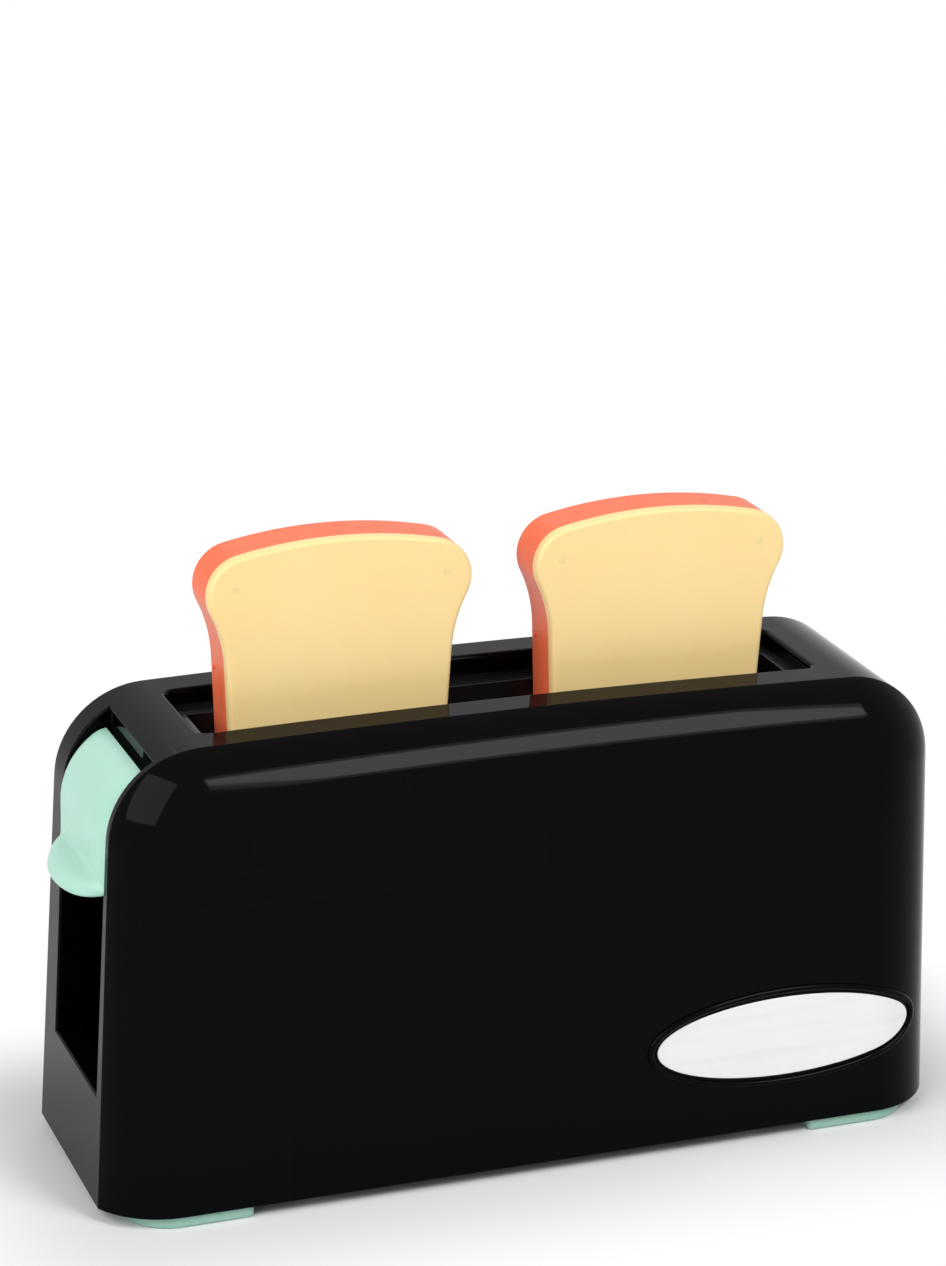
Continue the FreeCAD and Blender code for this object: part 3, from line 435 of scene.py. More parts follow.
class HousingSide:
    """One side of the housing's wall, outer or inner, with the holes for slot and window."""

    CORNER_STEPS = 18                      # along each upper corner
    ARC_STEPS = 6                          # along each corner of the slot
    SLOT_STEPS = 14                        # along the slot
    CHEEK_STEPS = 5                        # from the window's sill to the upper corner
    FAR_SHARES = (0.8, 0.5, 0.25, 0)       # rows down the far end

    def __init__(self, form, inner):
        size = form.size
        self.form, self.inner = form, inner
        self.facing = -1 if inner else 1
        self.inset = size.wall if inner else 0.0
        self.slot_grow = size.collar_wall if inner else size.mouth_round
        self.window_grow = size.cheek_wall if inner else size.window_round
        outer_levels = form.outer_levels()
        self.levels = form.inner_levels(len(outer_levels)) if inner else outer_levels
        self.make_rows()

    def make_rows(self):
        """Rows from the lever end's rim over the top to the far end's rim, with the holes' limits among them."""
        form, size, inset = self.form, self.form.size, self.inset
        sill = form.end_share(size.window_sill - self.window_grow, inset)
        top = form.corner_turn(size.rim_length / 2 - size.window_reach - self.window_grow, inset)
        turns = [form.lean + (form.top_angle - form.lean) * k / self.CORNER_STEPS
                 for k in range(self.CORNER_STEPS + 1)]
        rows = [Row("end", -1, share) for share in (0, sill / 2, sill)]
        self.sill = len(rows) - 1
        rows += [Row("end", -1, sill + (1 - sill) * k / self.CHEEK_STEPS) for k in range(1, self.CHEEK_STEPS)]
        rows += [Row("corner", -1, angle) for angle in turns if angle < top]
        self.window_top = len(rows)
        rows += [Row("corner", -1, top)] + [Row("corner", -1, angle) for angle in turns if angle > top]
        half = size.slot_length / 2
        x0, x1 = size.slot_centre - half, size.slot_centre + half
        t0, t1 = x0 + size.slot_corner, x1 - size.slot_corner
        straight = [t0 + (t1 - t0) * k / self.SLOT_STEPS for k in range(self.SLOT_STEPS + 1)]
        self.slot_x = [x0 - self.slot_grow] + straight + [x1 + self.slot_grow]
        self.slot_start = len(rows)
        rows += [Row("crown", 1, form.crown_turn(x, inset)) for x in self.slot_x]
        self.slot_end = len(rows) - 1
        rows += [Row("corner", 1, angle) for angle in reversed(turns)]
        rows += [Row("end", 1, share) for share in self.FAR_SHARES]
        self.rows = rows

    def band(self, index):
        """(x, z, y of the band's front edge, normal) of a row on the flat band."""
        inset, setback = self.levels[-1][:2]
        (x, z), normal = self.form.outline(self.rows[index], inset, setback)
        spot = self.form.stand(x, setback, z)
        return spot.x, spot.z, spot.y, self.form.band_normal(normal) * self.facing

    def cut_y(self, index, side):
        """Reach of the hole to one side at a row; between the two holes it passes from one to the other."""
        size = self.form.size
        window = size.window_half + side * size.window_shift + self.window_grow
        slot = size.slot_width / 2 + self.slot_grow
        share = (index - self.window_top) / (self.slot_start - self.window_top)
        return window + (slot - window) * max(0.0, min(1.0, share))

    def columns(self, index):
        """World y of every vertex across the flat band at a row."""
        edge = -self.band(index)[2]
        tangent = self.form.size.slot_width / 2 - self.form.size.slot_corner
        cuts = [self.cut_y(index, side) for side in (-1, 1)]
        near, far = ([tangent, cut, (edge + cut) / 2, edge] for cut in cuts)
        return [-y for y in reversed(near)] + [0.0] + far

    def band_vertex(self, index, y):
        """World place and normal on the flat band."""
        x, z, _, normal = self.band(index)
        return Vector((x, y, z)), normal

    def rim(self, index):
        """Every vertex across one row, from the front flat face to the rear one."""
        row = self.rows[index]
        front = [self.form.vertex(row, level, -1, self.facing) for level in self.levels]
        rear = [self.form.vertex(row, level, 1, self.facing) for level in reversed(self.levels)]
        middle = [self.band_vertex(index, y) for y in self.columns(index)[1:-1]]
        return front + middle + rear

    def build(self, skin):
        """Lays both faces and the band between them, with its two holes left open."""
        for side in (-1, 1):
            grid = [[self.form.vertex(row, level, side, self.facing) for row in self.rows]
                    for level in self.levels]
            skin.sheet(grid)
            skin.face(grid[0])
        for index in range(len(self.rows) - 1):
            low = [self.band_vertex(index, y) for y in self.columns(index)]
            high = [self.band_vertex(index + 1, y) for y in self.columns(index + 1)]
            hole = self.sill <= index < self.window_top or self.slot_start <= index < self.slot_end
            for k in range(len(low) - 1):
                if not (hole and 2 <= k < len(low) - 3):
                    skin.face([low[k], low[k + 1], high[k + 1], high[k]])
        self.fill_slot_corners(skin)

    def slot_loop(self):
        """Base points (x, y, nx, ny) round the slot at its nominal size, in step with the rows."""
        size = self.form.size
        half, width = size.slot_length / 2, size.slot_width / 2
        tangent = width - size.slot_corner
        straight = self.slot_x[1:-1]
        loop = [(size.slot_centre - half, y, -1, 0) for y in (-tangent, 0.0, tangent)]
        loop += self.slot_arc(straight[0], tangent, math.pi, math.pi / 2)
        loop += [(x, width, 0, 1) for x in straight]
        loop += self.slot_arc(straight[-1], tangent, math.pi / 2, 0)
        loop += [(size.slot_centre + half, y, 1, 0) for y in (tangent, 0.0, -tangent)]
        loop += self.slot_arc(straight[-1], -tangent, 0, -math.pi / 2)
        loop += [(x, -width, 0, -1) for x in reversed(straight)]
        loop += self.slot_arc(straight[0], -tangent, -math.pi / 2, -math.pi)
        return loop

    def slot_arc(self, x, y, start, stop, ends=False):
        """Base points along one rounded corner of the slot, with or without its two ends."""
        radius = self.form.size.slot_corner
        steps = range(self.ARC_STEPS + 1) if ends else range(1, self.ARC_STEPS)
        points = []
        for step in steps:
            angle = start + (stop - start) * step / self.ARC_STEPS
            c, s = math.cos(angle), math.sin(angle)
            points.append((x + radius * c, y + radius * s, c, s))
        return points

    def fill_slot_corners(self, skin):
        """Closes the gaps between the slot's rounded corners and the square hole in the rows."""
        tangent = self.form.size.slot_width / 2 - self.form.size.slot_corner
        cut = self.cut_y(self.slot_start, 1)
        for x, end, index in ((self.slot_x[1], math.pi, self.slot_start), (self.slot_x[-2], 0, self.slot_end)):
            for side in (-1, 1):
                pivot = self.band_vertex(index, side * cut)
                arc = self.slot_arc(x, side * tangent, side * end, side * math.pi / 2, ends=True)
                fan = []
                for px, py, nx, ny in arc:
                    qx, qy = px + nx * self.slot_grow, py + ny * self.slot_grow
                    fan.append((Vector((qx, qy, self.form.top_z(qx, self.inset))), pivot[1]))
                for a, b in zip(fan, fan[1:]):
                    skin.face([pivot, a, b])


def line_slot(skin, form, outer):
    """Rounded mouth, collar wall, its underside and its outer side."""
    size = form.size
    base = outer.slot_loop()
    rings = []
    steps = 6
    for step in range(steps + 1):
        angle = math.pi / 2 * step / steps
        grow = size.mouth_round * (1 - math.sin(angle))
        drop = size.mouth_round * (1 - math.cos(angle))
        ring = []
        for x, y, nx, ny in base:
            spot = Vector((x + nx * grow, y + ny * grow, 0))
            spot.z = form.top_z(spot.x, 0) - drop
            ring.append((spot, Vector((-nx * math.sin(angle), -ny * math.sin(angle), math.cos(angle)))))
        rings.append(ring)
    skin.sheet(rings, closed=True)

    def ring_at(grow, z, across, up):
        """Ring moved outwards by grow, at z or else on the wall's inner side, with its normals' two shares."""
        return [(Vector((x + nx * grow, y + ny * grow, z or form.top_z(x + nx * grow, size.wall))),
                 Vector((nx * across, ny * across, up))) for x, y, nx, ny in base]

    low, wall = size.collar_low, size.collar_wall
    skin.sheet([rings[-1], ring_at(0, low, -1, 0)], closed=True)
    skin.sheet([ring_at(0, low, 0, -1), ring_at(wall, low, 0, -1)], closed=True)
    skin.sheet([ring_at(wall, low, 1, 0), ring_at(wall, None, 1, 0)], closed=True)


def line_window(skin, form, outer, inner):
    """Softened edge of the lever window and the walls that line it."""
    size = form.size
    end_x = -size.rim_length / 2
    top_x = end_x + size.window_reach
    cheek_x = end_x + size.cheek_depth
    tangent = size.slot_width / 2 - size.slot_corner
    middle = [-tangent, 0.0, tangent]

    def surface(row, inset):
        setback = outer.levels[-1][1] if not inset else inner.levels[-1][1]
        (x, z), normal = form.outline(row, inset, setback)
        spot = form.stand(x, setback, z)
        return Vector((spot.x, 0, spot.z)), form.band_normal(normal)

    def row_at(index, grow, inset):
        """Row of a point of the hole's edge, moved outwards by grow where it lies on the sill or top."""
        if index == outer.sill:
            return Row("end", -1, form.end_share(size.window_sill - grow, inset))
        if index == outer.window_top:
            return Row("corner", -1, form.corner_turn(top_x + grow, inset))
        return (inner if inset else outer).rows[index]

    def deep(index):
        """Inner end of the lining at a row."""
        spot, normal = surface(row_at(index, 0, size.wall), size.wall)
        spot -= normal * LINING_SUNK
        if index == outer.sill:
            return Vector((cheek_x, 0, size.window_sill))
        if index == outer.window_top:
            return Vector((top_x, 0, size.cheek_low))
        if spot.z < size.cheek_low - LINING_STEP:
            spot.x = max(spot.x, cheek_x)
        if spot.x > top_x - LINING_TOP:
            spot.z = min(spot.z, size.cheek_low)
        return spot

    def lay(indices, ys, sides, wall_normal, back_normal):
        """One side of the hole: indices and ys run along it, and sides tell which points lie on a cheek."""
        def point(k, grow, kind):
            index = indices[k]
            across = ys[k] + sides[k] * grow
            if kind == "deep":
                spot = deep(index)
                if grow and index == outer.sill:
                    spot.z -= grow
                if grow and index == outer.window_top:
                    spot.x += grow
                return Vector((spot.x, across, spot.z))
            if kind == "inner":
                spot, _ = surface(row_at(index, grow, size.wall), size.wall)
                return Vector((spot.x, across, spot.z))
            spot, normal = surface(row_at(index, grow, 0), 0)
            spot -= normal * kind
            return Vector((spot.x, across, spot.z))

        count = range(len(indices))
        soft = size.window_round
        rings = []
        for step in range(4):
            angle = math.pi / 2 * step / 3
            ring = []
            for k in count:
                _, up = surface(row_at(indices[k], 0, 0), 0)
                wall = wall_normal(indices[k])
                grow, drop = soft * (1 - math.sin(angle)), soft * (1 - math.cos(angle))
                normal = (up * math.cos(angle) + wall * math.sin(angle)).normalized()
                ring.append((point(k, grow, drop), normal))
            rings.append(ring)
        skin.sheet(rings)
        skin.sheet([[(p, wall_normal(indices[k])) for k, (p, _) in enumerate(rings[-1])],
                    [(point(k, 0, "deep"), wall_normal(indices[k])) for k in count]])
        skin.sheet([[(point(k, grow, "deep"), back_normal(indices[k])) for k in count]
                    for grow in (0, size.cheek_wall)])
        skin.sheet([[(point(k, size.cheek_wall, kind), -wall_normal(indices[k])) for k in count]
                    for kind in ("deep", "inner")])

    near, far = size.window_shift - size.window_half, size.window_shift + size.window_half
    across = [near] + middle + [far]
    ends = [-1, 0, 0, 0, 1]
    along = list(range(outer.sill, outer.window_top + 1))
    back = Vector((1, 0, 0))
    lay([outer.sill] * 5, across, ends, lambda index: UP, lambda index: back)
    lay([outer.window_top] * 5, across, ends, lambda index: Vector((-1, 0, 0)), lambda index: -UP)
    for side, y in ((-1, near), (1, far)):
        lay(along, [y] * len(along), [side] * len(along), lambda index, side=side: Vector((0, -side, 0)),
            lambda index: back if deep(index).z < size.cheek_low - LINING_STEP else -UP)


def inner_posts(skin, form):
    """Screw pillars with their webs, and the bosses beside the slot."""
    size = form.size
    for sx in (-1, 1):
        for sy in (-1, 1):
            x, y, wall_y = sx * PILLAR_X, sy * PILLAR_Y, sy * WEB_REACH
            skin.block((x - PILLAR_HALF, y - PILLAR_HALF, PILLAR_LOW),
                       (x + PILLAR_HALF, y + PILLAR_HALF, PILLAR_HIGH))
            skin.block((x - WEB_HALF, min(y, wall_y), WEB_LOW), (x + WEB_HALF, max(y, wall_y), PILLAR_HIGH))
            x = size.slot_centre + sx * (size.slot_length / 2 - BOSS_INSET)
            y = sy * (size.slot_width / 2 + size.collar_wall + BOSS_HALF)
            skin.block((x - BOSS_HALF, y - BOSS_HALF, size.collar_low),
                       (x + BOSS_HALF, y + BOSS_HALF, form.top_z(x, size.wall) + BOSS_SUNK))


def badge_bead(skin, form, badge):
    """Raised ring on the front face round the badge."""
    middle = badge.bead_gap + badge.bead_width / 2
    a, b = badge.half_length + middle, badge.half_width + middle
    steps, section_steps, root = 120, 8, -0.5
    turns = [math.pi * k / section_steps for k in range(section_steps + 1)]
    section = [(1.0, root)] + [(math.cos(turn), math.sin(turn)) for turn in turns] + [(-1.0, root)]
    rows = []
    for step in range(steps):
        angle = 2 * math.pi * step / steps
        c, s = math.cos(angle), math.sin(angle)
        out = Vector((c / a, s / b)).normalized()
        row = []
        for across, rise in section:
            shift = badge.bead_width / 2 * across
            spot, normal = form.on_front(badge.centre_x + a * c + out.x * shift,
                                         badge.centre_z + b * s + out.y * shift)
            side = Vector((out.x, 0, out.y))
            side = (side - normal * side.dot(normal)).normalized()
            facing = (side * across + normal * max(rise, 0)).normalized()
            row.append((spot + normal * rise * badge.bead_proud, facing))
        rows.append(row)
    skin.sheet(rows + rows[:1], closed=True)


def build_housing(size, badge):
    """Hollow moulding with its lined slot and window, posts and bead."""
    form = HousingForm(size)
    outer, inner = HousingSide(form, False), HousingSide(form, True)
    skin = Skin()
    outer.build(skin)
    inner.build(skin)
    line_slot(skin, form, outer)
    line_window(skin, form, outer, inner)
    down = Vector((0, 0, -1))
    rims = []
    for index in (0, -1):
        pair = [[(place, down) for place, _ in side.rim(index)] for side in (outer, inner)]
        skin.sheet(pair)
        rims.append(pair)
    for end in (0, -1):
        (left_out, left_in), (right_out, right_in) = rims
        skin.face([left_out[end], right_out[end], right_in[end], left_in[end]])
    inner_posts(skin, form)
    badge_bead(skin, form, badge)
    return skin.mesh("housing")


def build_badge(size, badge):
    """Oval plate that follows the face, with a softened rim."""
    form = HousingForm(size)
    skin = Skin()
    soft, count = 0.25 * MM, 96

    def ring(share, inset, rise, tilt):
        return [oval_point(form, badge, share, inset, rise, tilt, k / count) for k in range(count)]

    rows = [ring(share, 0.0, badge.proud, 0.0) for share in (0.0, 0.25, 0.5, 0.75, 0.9)]
    for step in range(4):
        tilt = math.pi / 2 * step / 3
        rows.append(ring(1.0, soft * (1 - math.sin(tilt)), badge.proud - soft * (1 - math.cos(tilt)), tilt))
    skin.sheet(rows, closed=True)
    skin.sheet([ring(1.0, 0.0, rise, math.pi / 2) for rise in (badge.proud - soft, -badge.depth)], closed=True)
    skin.sheet([ring(share, 0.0, -badge.depth, math.pi) for share in (1.0, 0.75, 0.5, 0.25, 0.0)], closed=True)
    return skin.mesh("badge")


def oval_point(form, badge, share, inset, rise, tilt, around):
    """Place and normal at a share of the way from the badge's middle to its rim."""
    angle = 2 * math.pi * around
    c, s = math.cos(angle), math.sin(angle)
    out = Vector((c / badge.half_length, s / badge.half_width)).normalized()
    spot, normal = form.on_front(badge.centre_x + badge.half_length * c * share - out.x * inset,
                                 badge.centre_z + badge.half_width * s * share - out.y * inset)
    side = Vector((out.x, 0, out.y))
    side = (side - normal * side.dot(normal)).normalized()
    return spot + normal * rise, normal * math.cos(tilt) + side * math.sin(tilt)


# ------------------------------------------------------------------ slices
def bread_outline(size, steps=10):
    """Outline of a slice with its outward normals: foot, sides, necks, shoulders and crown."""
    foot = Vector((size.foot_width / 2 - size.foot_radius, size.foot_radius))
    lobe = Vector((size.width / 2 - size.lobe_radius, size.height - size.lobe_drop))
    normal = Vector((math.cos(size.flare), -math.sin(size.flare)))
    along = Vector((math.sin(size.flare), math.cos(size.flare)))
    base = normal * (normal.dot(foot) + size.foot_radius + size.neck_radius)
    offset = (lobe - base).dot(normal)
    rise = (lobe - base).dot(along) - math.sqrt((size.neck_radius + size.lobe_radius) ** 2 - offset ** 2)
    neck = base + along * rise
    crown = (lobe.x ** 2 + size.lobe_drop ** 2 - size.lobe_radius ** 2)
    crown /= 2 * (size.lobe_drop - size.lobe_radius)
    to_neck = math.atan2(neck.y - lobe.y, neck.x - lobe.x)
    to_crown = math.atan2(lobe.y - size.height + crown, lobe.x)

    def arc(centre, radius, start, stop, hollow, count):
        side = -1 if hollow else 1
        points = []
        for step in range(count + 1):
            angle = start + (stop - start) * step / count
            way = Vector((math.cos(angle), math.sin(angle)))
            points.append((centre + way * radius, way * side))
        return points

    half = arc(foot, size.foot_radius, -math.pi / 2, -size.flare, False, steps)
    half += arc(neck, size.neck_radius, math.pi - size.flare, math.pi + to_neck, True, steps)
    half += arc(lobe, size.lobe_radius, to_neck, to_crown, False, 2 * steps)[1:]
    half += arc(Vector((0, size.height - crown)), crown, to_crown, math.pi / 2, False, steps)[1:]
    mirrored = [(Vector((-p.x, p.y)), Vector((-n.x, n.y))) for p, n in reversed(half[:-1])]
    return [(tuple(p), tuple(n)) for p, n in half + mirrored]


def slice_centres(size):
    """Places of the two slices along the length."""
    pitch = size.width + size.gap
    return [size.middle - pitch / 2, size.middle + pitch / 2]


def slice_place(size, x):
    """Carries an outline's (u, v, height) to a slice that stands in the slot."""
    return Matrix(((1, 0, 0, x), (0, 0, 1, 0), (0, 1, 0, size.seat), (0, 0, 0, 1)))


def mould_mark(skin, place, radius, levels):
    """Small round mark."""
    skin.slab(rounded_rectangle(radius, radius, [radius - 0.01 * MM] * 4, 5), levels, place)


def build_crumb(size, x):
    """Pale front layer with a rounded rim and four faint round marks from its mould."""
    skin = Skin()
    front = -size.thick / 2
    place = slice_place(size, x)
    skin.slab(bread_outline(size), rounded_levels(front, front + size.crumb_thick, size.crumb_round,
                                                  size.joint_round, 6), place)
    for u, v in MOULD_MARKS:
        mould_mark(skin, place @ Matrix.Translation((u * MM, v * MM, 0)), 0.8 * MM,
                   rounded_levels(front - 0.07 * MM, front + 0.2 * MM, 0.06 * MM, 0.02 * MM, 3))
    return skin.mesh("crumb")


def build_crust(size, x):
    """Crust behind the crumb, with the mark of the mould's gate on the side towards the lever."""
    skin = Skin()
    back = size.thick / 2
    skin.slab(bread_outline(size), rounded_levels(-back + size.crumb_thick, back, size.joint_round,
                                                  size.crust_round, 6), slice_place(size, x))
    side_x = x - size.foot_width / 2 - GATE_RISE * math.tan(size.flare)
    gate = Matrix.Translation((side_x, GATE_Y, size.seat + GATE_RISE)) @ Matrix.Rotation(-math.pi / 2, 4, "Y")
    mould_mark(skin, gate, 0.5 * MM, rounded_levels(-0.4 * MM, 0.08 * MM, 0.02 * MM, 0.07 * MM, 3))
    return skin.mesh("crust")


# ------------------------------------------------------------------ lever cover
UNDER_STEPS, RIM_STEPS, HOLLOW_STEPS = 6, 8, 24    # along the lip profile's lower and upper rounding and hollow
RIM_END = UNDER_STEPS + 1 + RIM_STEPS              # last point of its upper rounding


def lip_profile(size):
    """Dense profile (radius, z) of the thumb lip from its underside over the nose and up the hollow."""
    nose, low = size.lip_plan_radius, size.low
    high = low + size.lip_height
    soft, rim = size.lip_under, size.lip_round
    points = []
    for step in range(UNDER_STEPS + 1):
        angle = -math.pi / 2 + math.pi / 2 * step / UNDER_STEPS
        points.append((nose - soft * (1 - math.cos(angle)), low + soft * (1 + math.sin(angle))))
    for step in range(RIM_STEPS + 1):
        angle = math.pi / 2 * step / RIM_STEPS
        points.append((nose - rim * (1 - math.cos(angle)), high - rim * (1 - math.sin(angle))))
    start = Vector(points[-1])
    peak = Vector((nose - size.lip_reach - size.thick / 2, high + size.lip_scoop))
    slope = peak - start
    hollow = (start + peak) / 2 - Vector((slope.y, -slope.x)).normalized() * 2 * size.lip_sag
    for step in range(1, HOLLOW_STEPS + 1):
        t = step / HOLLOW_STEPS
        spot = start * (1 - t) ** 2 + hollow * 2 * t * (1 - t) + peak * t ** 2
        points.append((spot.x, spot.y))
    lengths = [0.0]
    for a, b in zip(points, points[1:]):
        lengths.append(lengths[-1] + math.dist(a, b))
    return points, lengths


def along_profile(points, lengths, distance):
    """Place on a profile at a distance from its start."""
    for k in range(1, len(points)):
        if distance <= lengths[k] or k == len(points) - 1:
            share = (distance - lengths[k - 1]) / (lengths[k] - lengths[k - 1])
            a, b = points[k - 1], points[k]
            return a[0] + (b[0] - a[0]) * share, a[1] + (b[1] - a[1]) * share


class LeverForm:
    """Columns of points from the lever cover's lower edge over its lip and face to the end of its curl."""

    LIP_ROWS, FACE_ROWS, CURL_ROWS = 30, 8, 20
    EDGE_COLUMNS, MIDDLE_COLUMNS = 8, 22
    SMOOTHED, PASSES = range(20, 35), 12        # rows over which the lip's upper crease fades into the face
    MARGIN = 0.3 * MM                           # columns nearer to a long edge keep this distance's form
    END_SOFT, END_ROWS = 0.5 * MM, 3            # rounding of the curl's upper end

    def __init__(self, size):
        self.size = size
        self.points, self.lengths = lip_profile(size)
        self.axis_x = size.face_x - size.lip_reach + size.lip_plan_radius
        self.half = size.width / 2
        self.curl_end = math.asin(size.curl_rise / size.curl_radius)

    def across(self):
        """Places across the cover, each with how far the rounding of the long edges falls there."""
        size = self.size
        sides = []
        for edge, drop in ((size.near_round, size.near_drop), (size.far_round, size.far_drop)):
            turns = [math.pi / 2 * k / self.EDGE_COLUMNS for k in range(self.EDGE_COLUMNS)]
            sides.append([(self.half - edge * (1 - math.cos(t)), drop * (1 - math.sin(t))) for t in turns])
        start, end = size.near_round - self.half, self.half - size.far_round
        count = self.MIDDLE_COLUMNS
        middle = [(start + (end - start) * k / count, 0.0) for k in range(count + 1)]
        return [(-y, fall) for y, fall in sides[0]] + middle + sides[1][::-1]

    def lifted(self, column, y):
        """Column with its lower end raised towards the cover's long edges, which rounds the lower corners."""
        lift = self.size.near_drop * (abs(y) / self.half) ** 5
        return [(x, z + lift * max(0, 1 - k / self.LIP_ROWS)) for k, (x, z) in enumerate(column)]

    def crease(self, y):
        """Distance along the lip's profile at which the lip meets the face."""
        size, lengths = self.size, self.lengths
        plane = math.hypot(size.lip_reach - size.lip_plan_radius, y)
        low, high = lengths[RIM_END], lengths[-1]
        if self.points[RIM_END][0] <= plane:
            low, high = lengths[UNDER_STEPS], lengths[RIM_END]
        for _ in range(40):
            middle = (low + high) / 2
            if along_profile(self.points, lengths, middle)[0] > plane:
                low = middle
            else:
                high = middle
        return high

    def curl(self, radius):
        """Points of the curl at one radius, after its first."""
        size = self.size
        angles = [self.curl_end * k / self.CURL_ROWS for k in range(1, self.CURL_ROWS + 1)]
        return [(size.face_x + size.curl_radius - radius * math.cos(angle), size.curl_z + radius * math.sin(angle))
                for angle in angles]

    def front(self, y):
        """Column of the seen side."""
        size, end = self.size, self.crease(y)
        column = []
        for k in range(self.LIP_ROWS + 1):
            radius, z = along_profile(self.points, self.lengths, end * k / self.LIP_ROWS)
            column.append((min(self.axis_x - math.sqrt(max(radius ** 2 - y ** 2, 0)), size.face_x), z))
        column = self.lifted(column, y)
        low = column[-1][1]
        for k in range(1, self.FACE_ROWS + 1):
            column.append((size.face_x, low + (size.curl_z - low) * k / self.FACE_ROWS))
        for _ in range(self.PASSES):
            kept = column[:]
            for k in self.SMOOTHED:
                column[k] = tuple((a + 2 * b + c) / 4 for a, b, c in zip(*kept[k - 1:k + 2]))
        return column + self.curl(size.curl_radius)

    def back(self, y):
        """Column of the hidden side, in step with the seen one."""
        size, count = self.size, self.LIP_ROWS + self.FACE_ROWS
        column = [(size.face_x + size.thick, size.low + (size.curl_z - size.low) * k / count)
                  for k in range(count + 1)]
        return self.lifted(column, y) + self.curl(size.curl_radius - size.thick)


def facing(column, k):
    """Outward normal of a column at one of its points."""
    a, b = column[max(k - 1, 0)], column[min(k + 1, len(column) - 1)]
    return Vector((a[1] - b[1], 0, b[0] - a[0])).normalized()


def build_lever(size, shift):
    """Curled cover with a scooped thumb lip, rounded long edges and two pegs behind."""
    form = LeverForm(size)
    margin = form.half - form.MARGIN
    front, behind = [], []
    for y, fall in form.across():
        y_in = max(-margin, min(margin, y))
        column, back = form.front(y_in), form.back(y_in)
        row = []
        for k, (x, z) in enumerate(column):
            normal = facing(column, k)
            sunk = normal * fall if k > form.LIP_ROWS else Vector((-fall, 0, 0))
            sunk += normal * form.END_SOFT * max(0, 1 - (len(column) - 1 - k) / form.END_ROWS) ** 2
            row.append((Vector((x, y + shift, z)) - sunk, normal))
        front.append(row)
        behind.append([(Vector((x, y + shift, z)), -facing(back, k)) for k, (x, z) in enumerate(back)])
    skin = Skin()
    skin.sheet(front)
    skin.sheet(behind)
    for column in (0, -1):
        side = Vector((0, -1 if column == 0 else 1, 0))
        skin.sheet([[(p, side) for p, _ in grid[column]] for grid in (front, behind)])
    upper = Vector((math.sin(form.curl_end), 0, math.cos(form.curl_end)))
    for row, normal in ((0, -UP), (-1, upper)):
        skin.sheet([[(column[row][0], normal) for column in grid] for grid in (front, behind)])
    for y in (-PEG_Y, PEG_Y):
        skin.block((size.face_x + PEG_START, y - PEG_HALF, PEG_LOW),
                   (size.face_x + PEG_REACH, y + PEG_HALF, PEG_HIGH))
    return skin.mesh("lever", exact=False)


# ------------------------------------------------------------------ plain turned and padded pieces
def build_rod(box):
    """Ground steel rod with chamfered ends, in the place of its solid."""
    low, high = box
    radius = (high.x - low.x) / 2
    outline = rounded_rectangle(radius, radius, [radius * 0.999] * 4, 12)
    skin = Skin()
    place = Matrix.Translation(((low.x + high.x) / 2, (low.y + high.y) / 2, 0))
    skin.slab(outline, rounded_levels(low.z, high.z, 0.4 * MM, 0.4 * MM, 3), place)
    return skin.mesh("rod")


def build_foot(box):
    """Corner pad whose outer corner follows the housing, with its peg."""
    low, high = box
    centre = Vector(((low.x + high.x) / 2, (low.y + high.y) / 2, 0))
    quarter = {(True, True): 0, (False, True): 1, (False, False): 2, (True, False): 3}[centre.x > 0, centre.y > 0]
    radii = [1.2 * MM] * 4
    radii[quarter] = 11.0 * MM
    peg, height = 2.0 * MM, 3.0 * MM
    skin = Skin()
    skin.slab(rounded_rectangle((high.x - low.x) / 2, (high.y - low.y) / 2, radii, 10),
              rounded_levels(0.0, height, 0.7 * MM, 0.15 * MM, 4), Matrix.Translation(centre))
    skin.block((centre.x - peg, centre.y - peg, height - 0.1 * MM), (centre.x + peg, centre.y + peg, high.z))
    return skin.mesh("foot")


def merged_copy(node, name):
    """Copy of a moulded solid with its points welded and its flat sides in one piece."""
    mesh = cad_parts[node].data.copy()
    mesh.name = name
    bm = bmesh.new()
    bm.from_mesh(mesh)
    bmesh.ops.remove_doubles(bm, verts=bm.verts[:], dist=WELD)
    bmesh.ops.dissolve_limit(bm, angle_limit=math.radians(1), verts=bm.verts[:], edges=bm.edges[:])
    for face in bm.faces:
        face.smooth = False
    bm.to_mesh(mesh)
    bm.free()
    return mesh


def fit_trays(mesh, size):
    """Moves the trays' floors and lips of the carriage's copy to the slices' foot and thickness."""
    low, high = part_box("toast_crust_left")
    drop = low.z - size.seat
    widened = (size.thick - (high.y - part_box("toast_crumb_left")[0].y)) / 2
    arm_x, rib_z, floor_z, lip_z, rib_share = -90.0 * MM, -4.0 * MM, -1.0 * MM, 5.0 * MM, 0.7
    for vertex in mesh.vertices:
        spot = vertex.co
        above = spot.z - low.z
        if spot.x < arm_x or not rib_z < above < lip_z:
            continue
        if abs(spot.y) > high.y + 0.1 * MM:
            spot.y += math.copysign(widened, spot.y)
        spot.z -= drop * (1 if above > floor_z else rib_share)


def soften(piece, width):
    """Softened edges that catch the light."""
    bevel = piece.modifiers.new("softened_edges", "BEVEL")
    bevel.width = width
    bevel.segments = 2
    bevel.limit_method = "ANGLE"
    bevel.angle_limit = math.radians(30)
    bevel.harden_normals = False


# ------------------------------------------------------------------ geometry nodes
def add(tree, kind, inputs=None, **settings):
    """New node with its settings, and its inputs set to values or linked to sockets."""
    made = tree.nodes.new(kind)
    for key, value in settings.items():
        setattr(made, key, value)
    for key, value in (inputs or {}).items():
        if isinstance(value, bpy.types.NodeSocket):
            tree.links.new(value, made.inputs[key])
        else:
            made.inputs[key].default_value = value
    return made


def put(tree, kind, inputs=None, **settings):
    """First output of a new node."""
    return add(tree, kind, inputs, **settings).outputs[0]


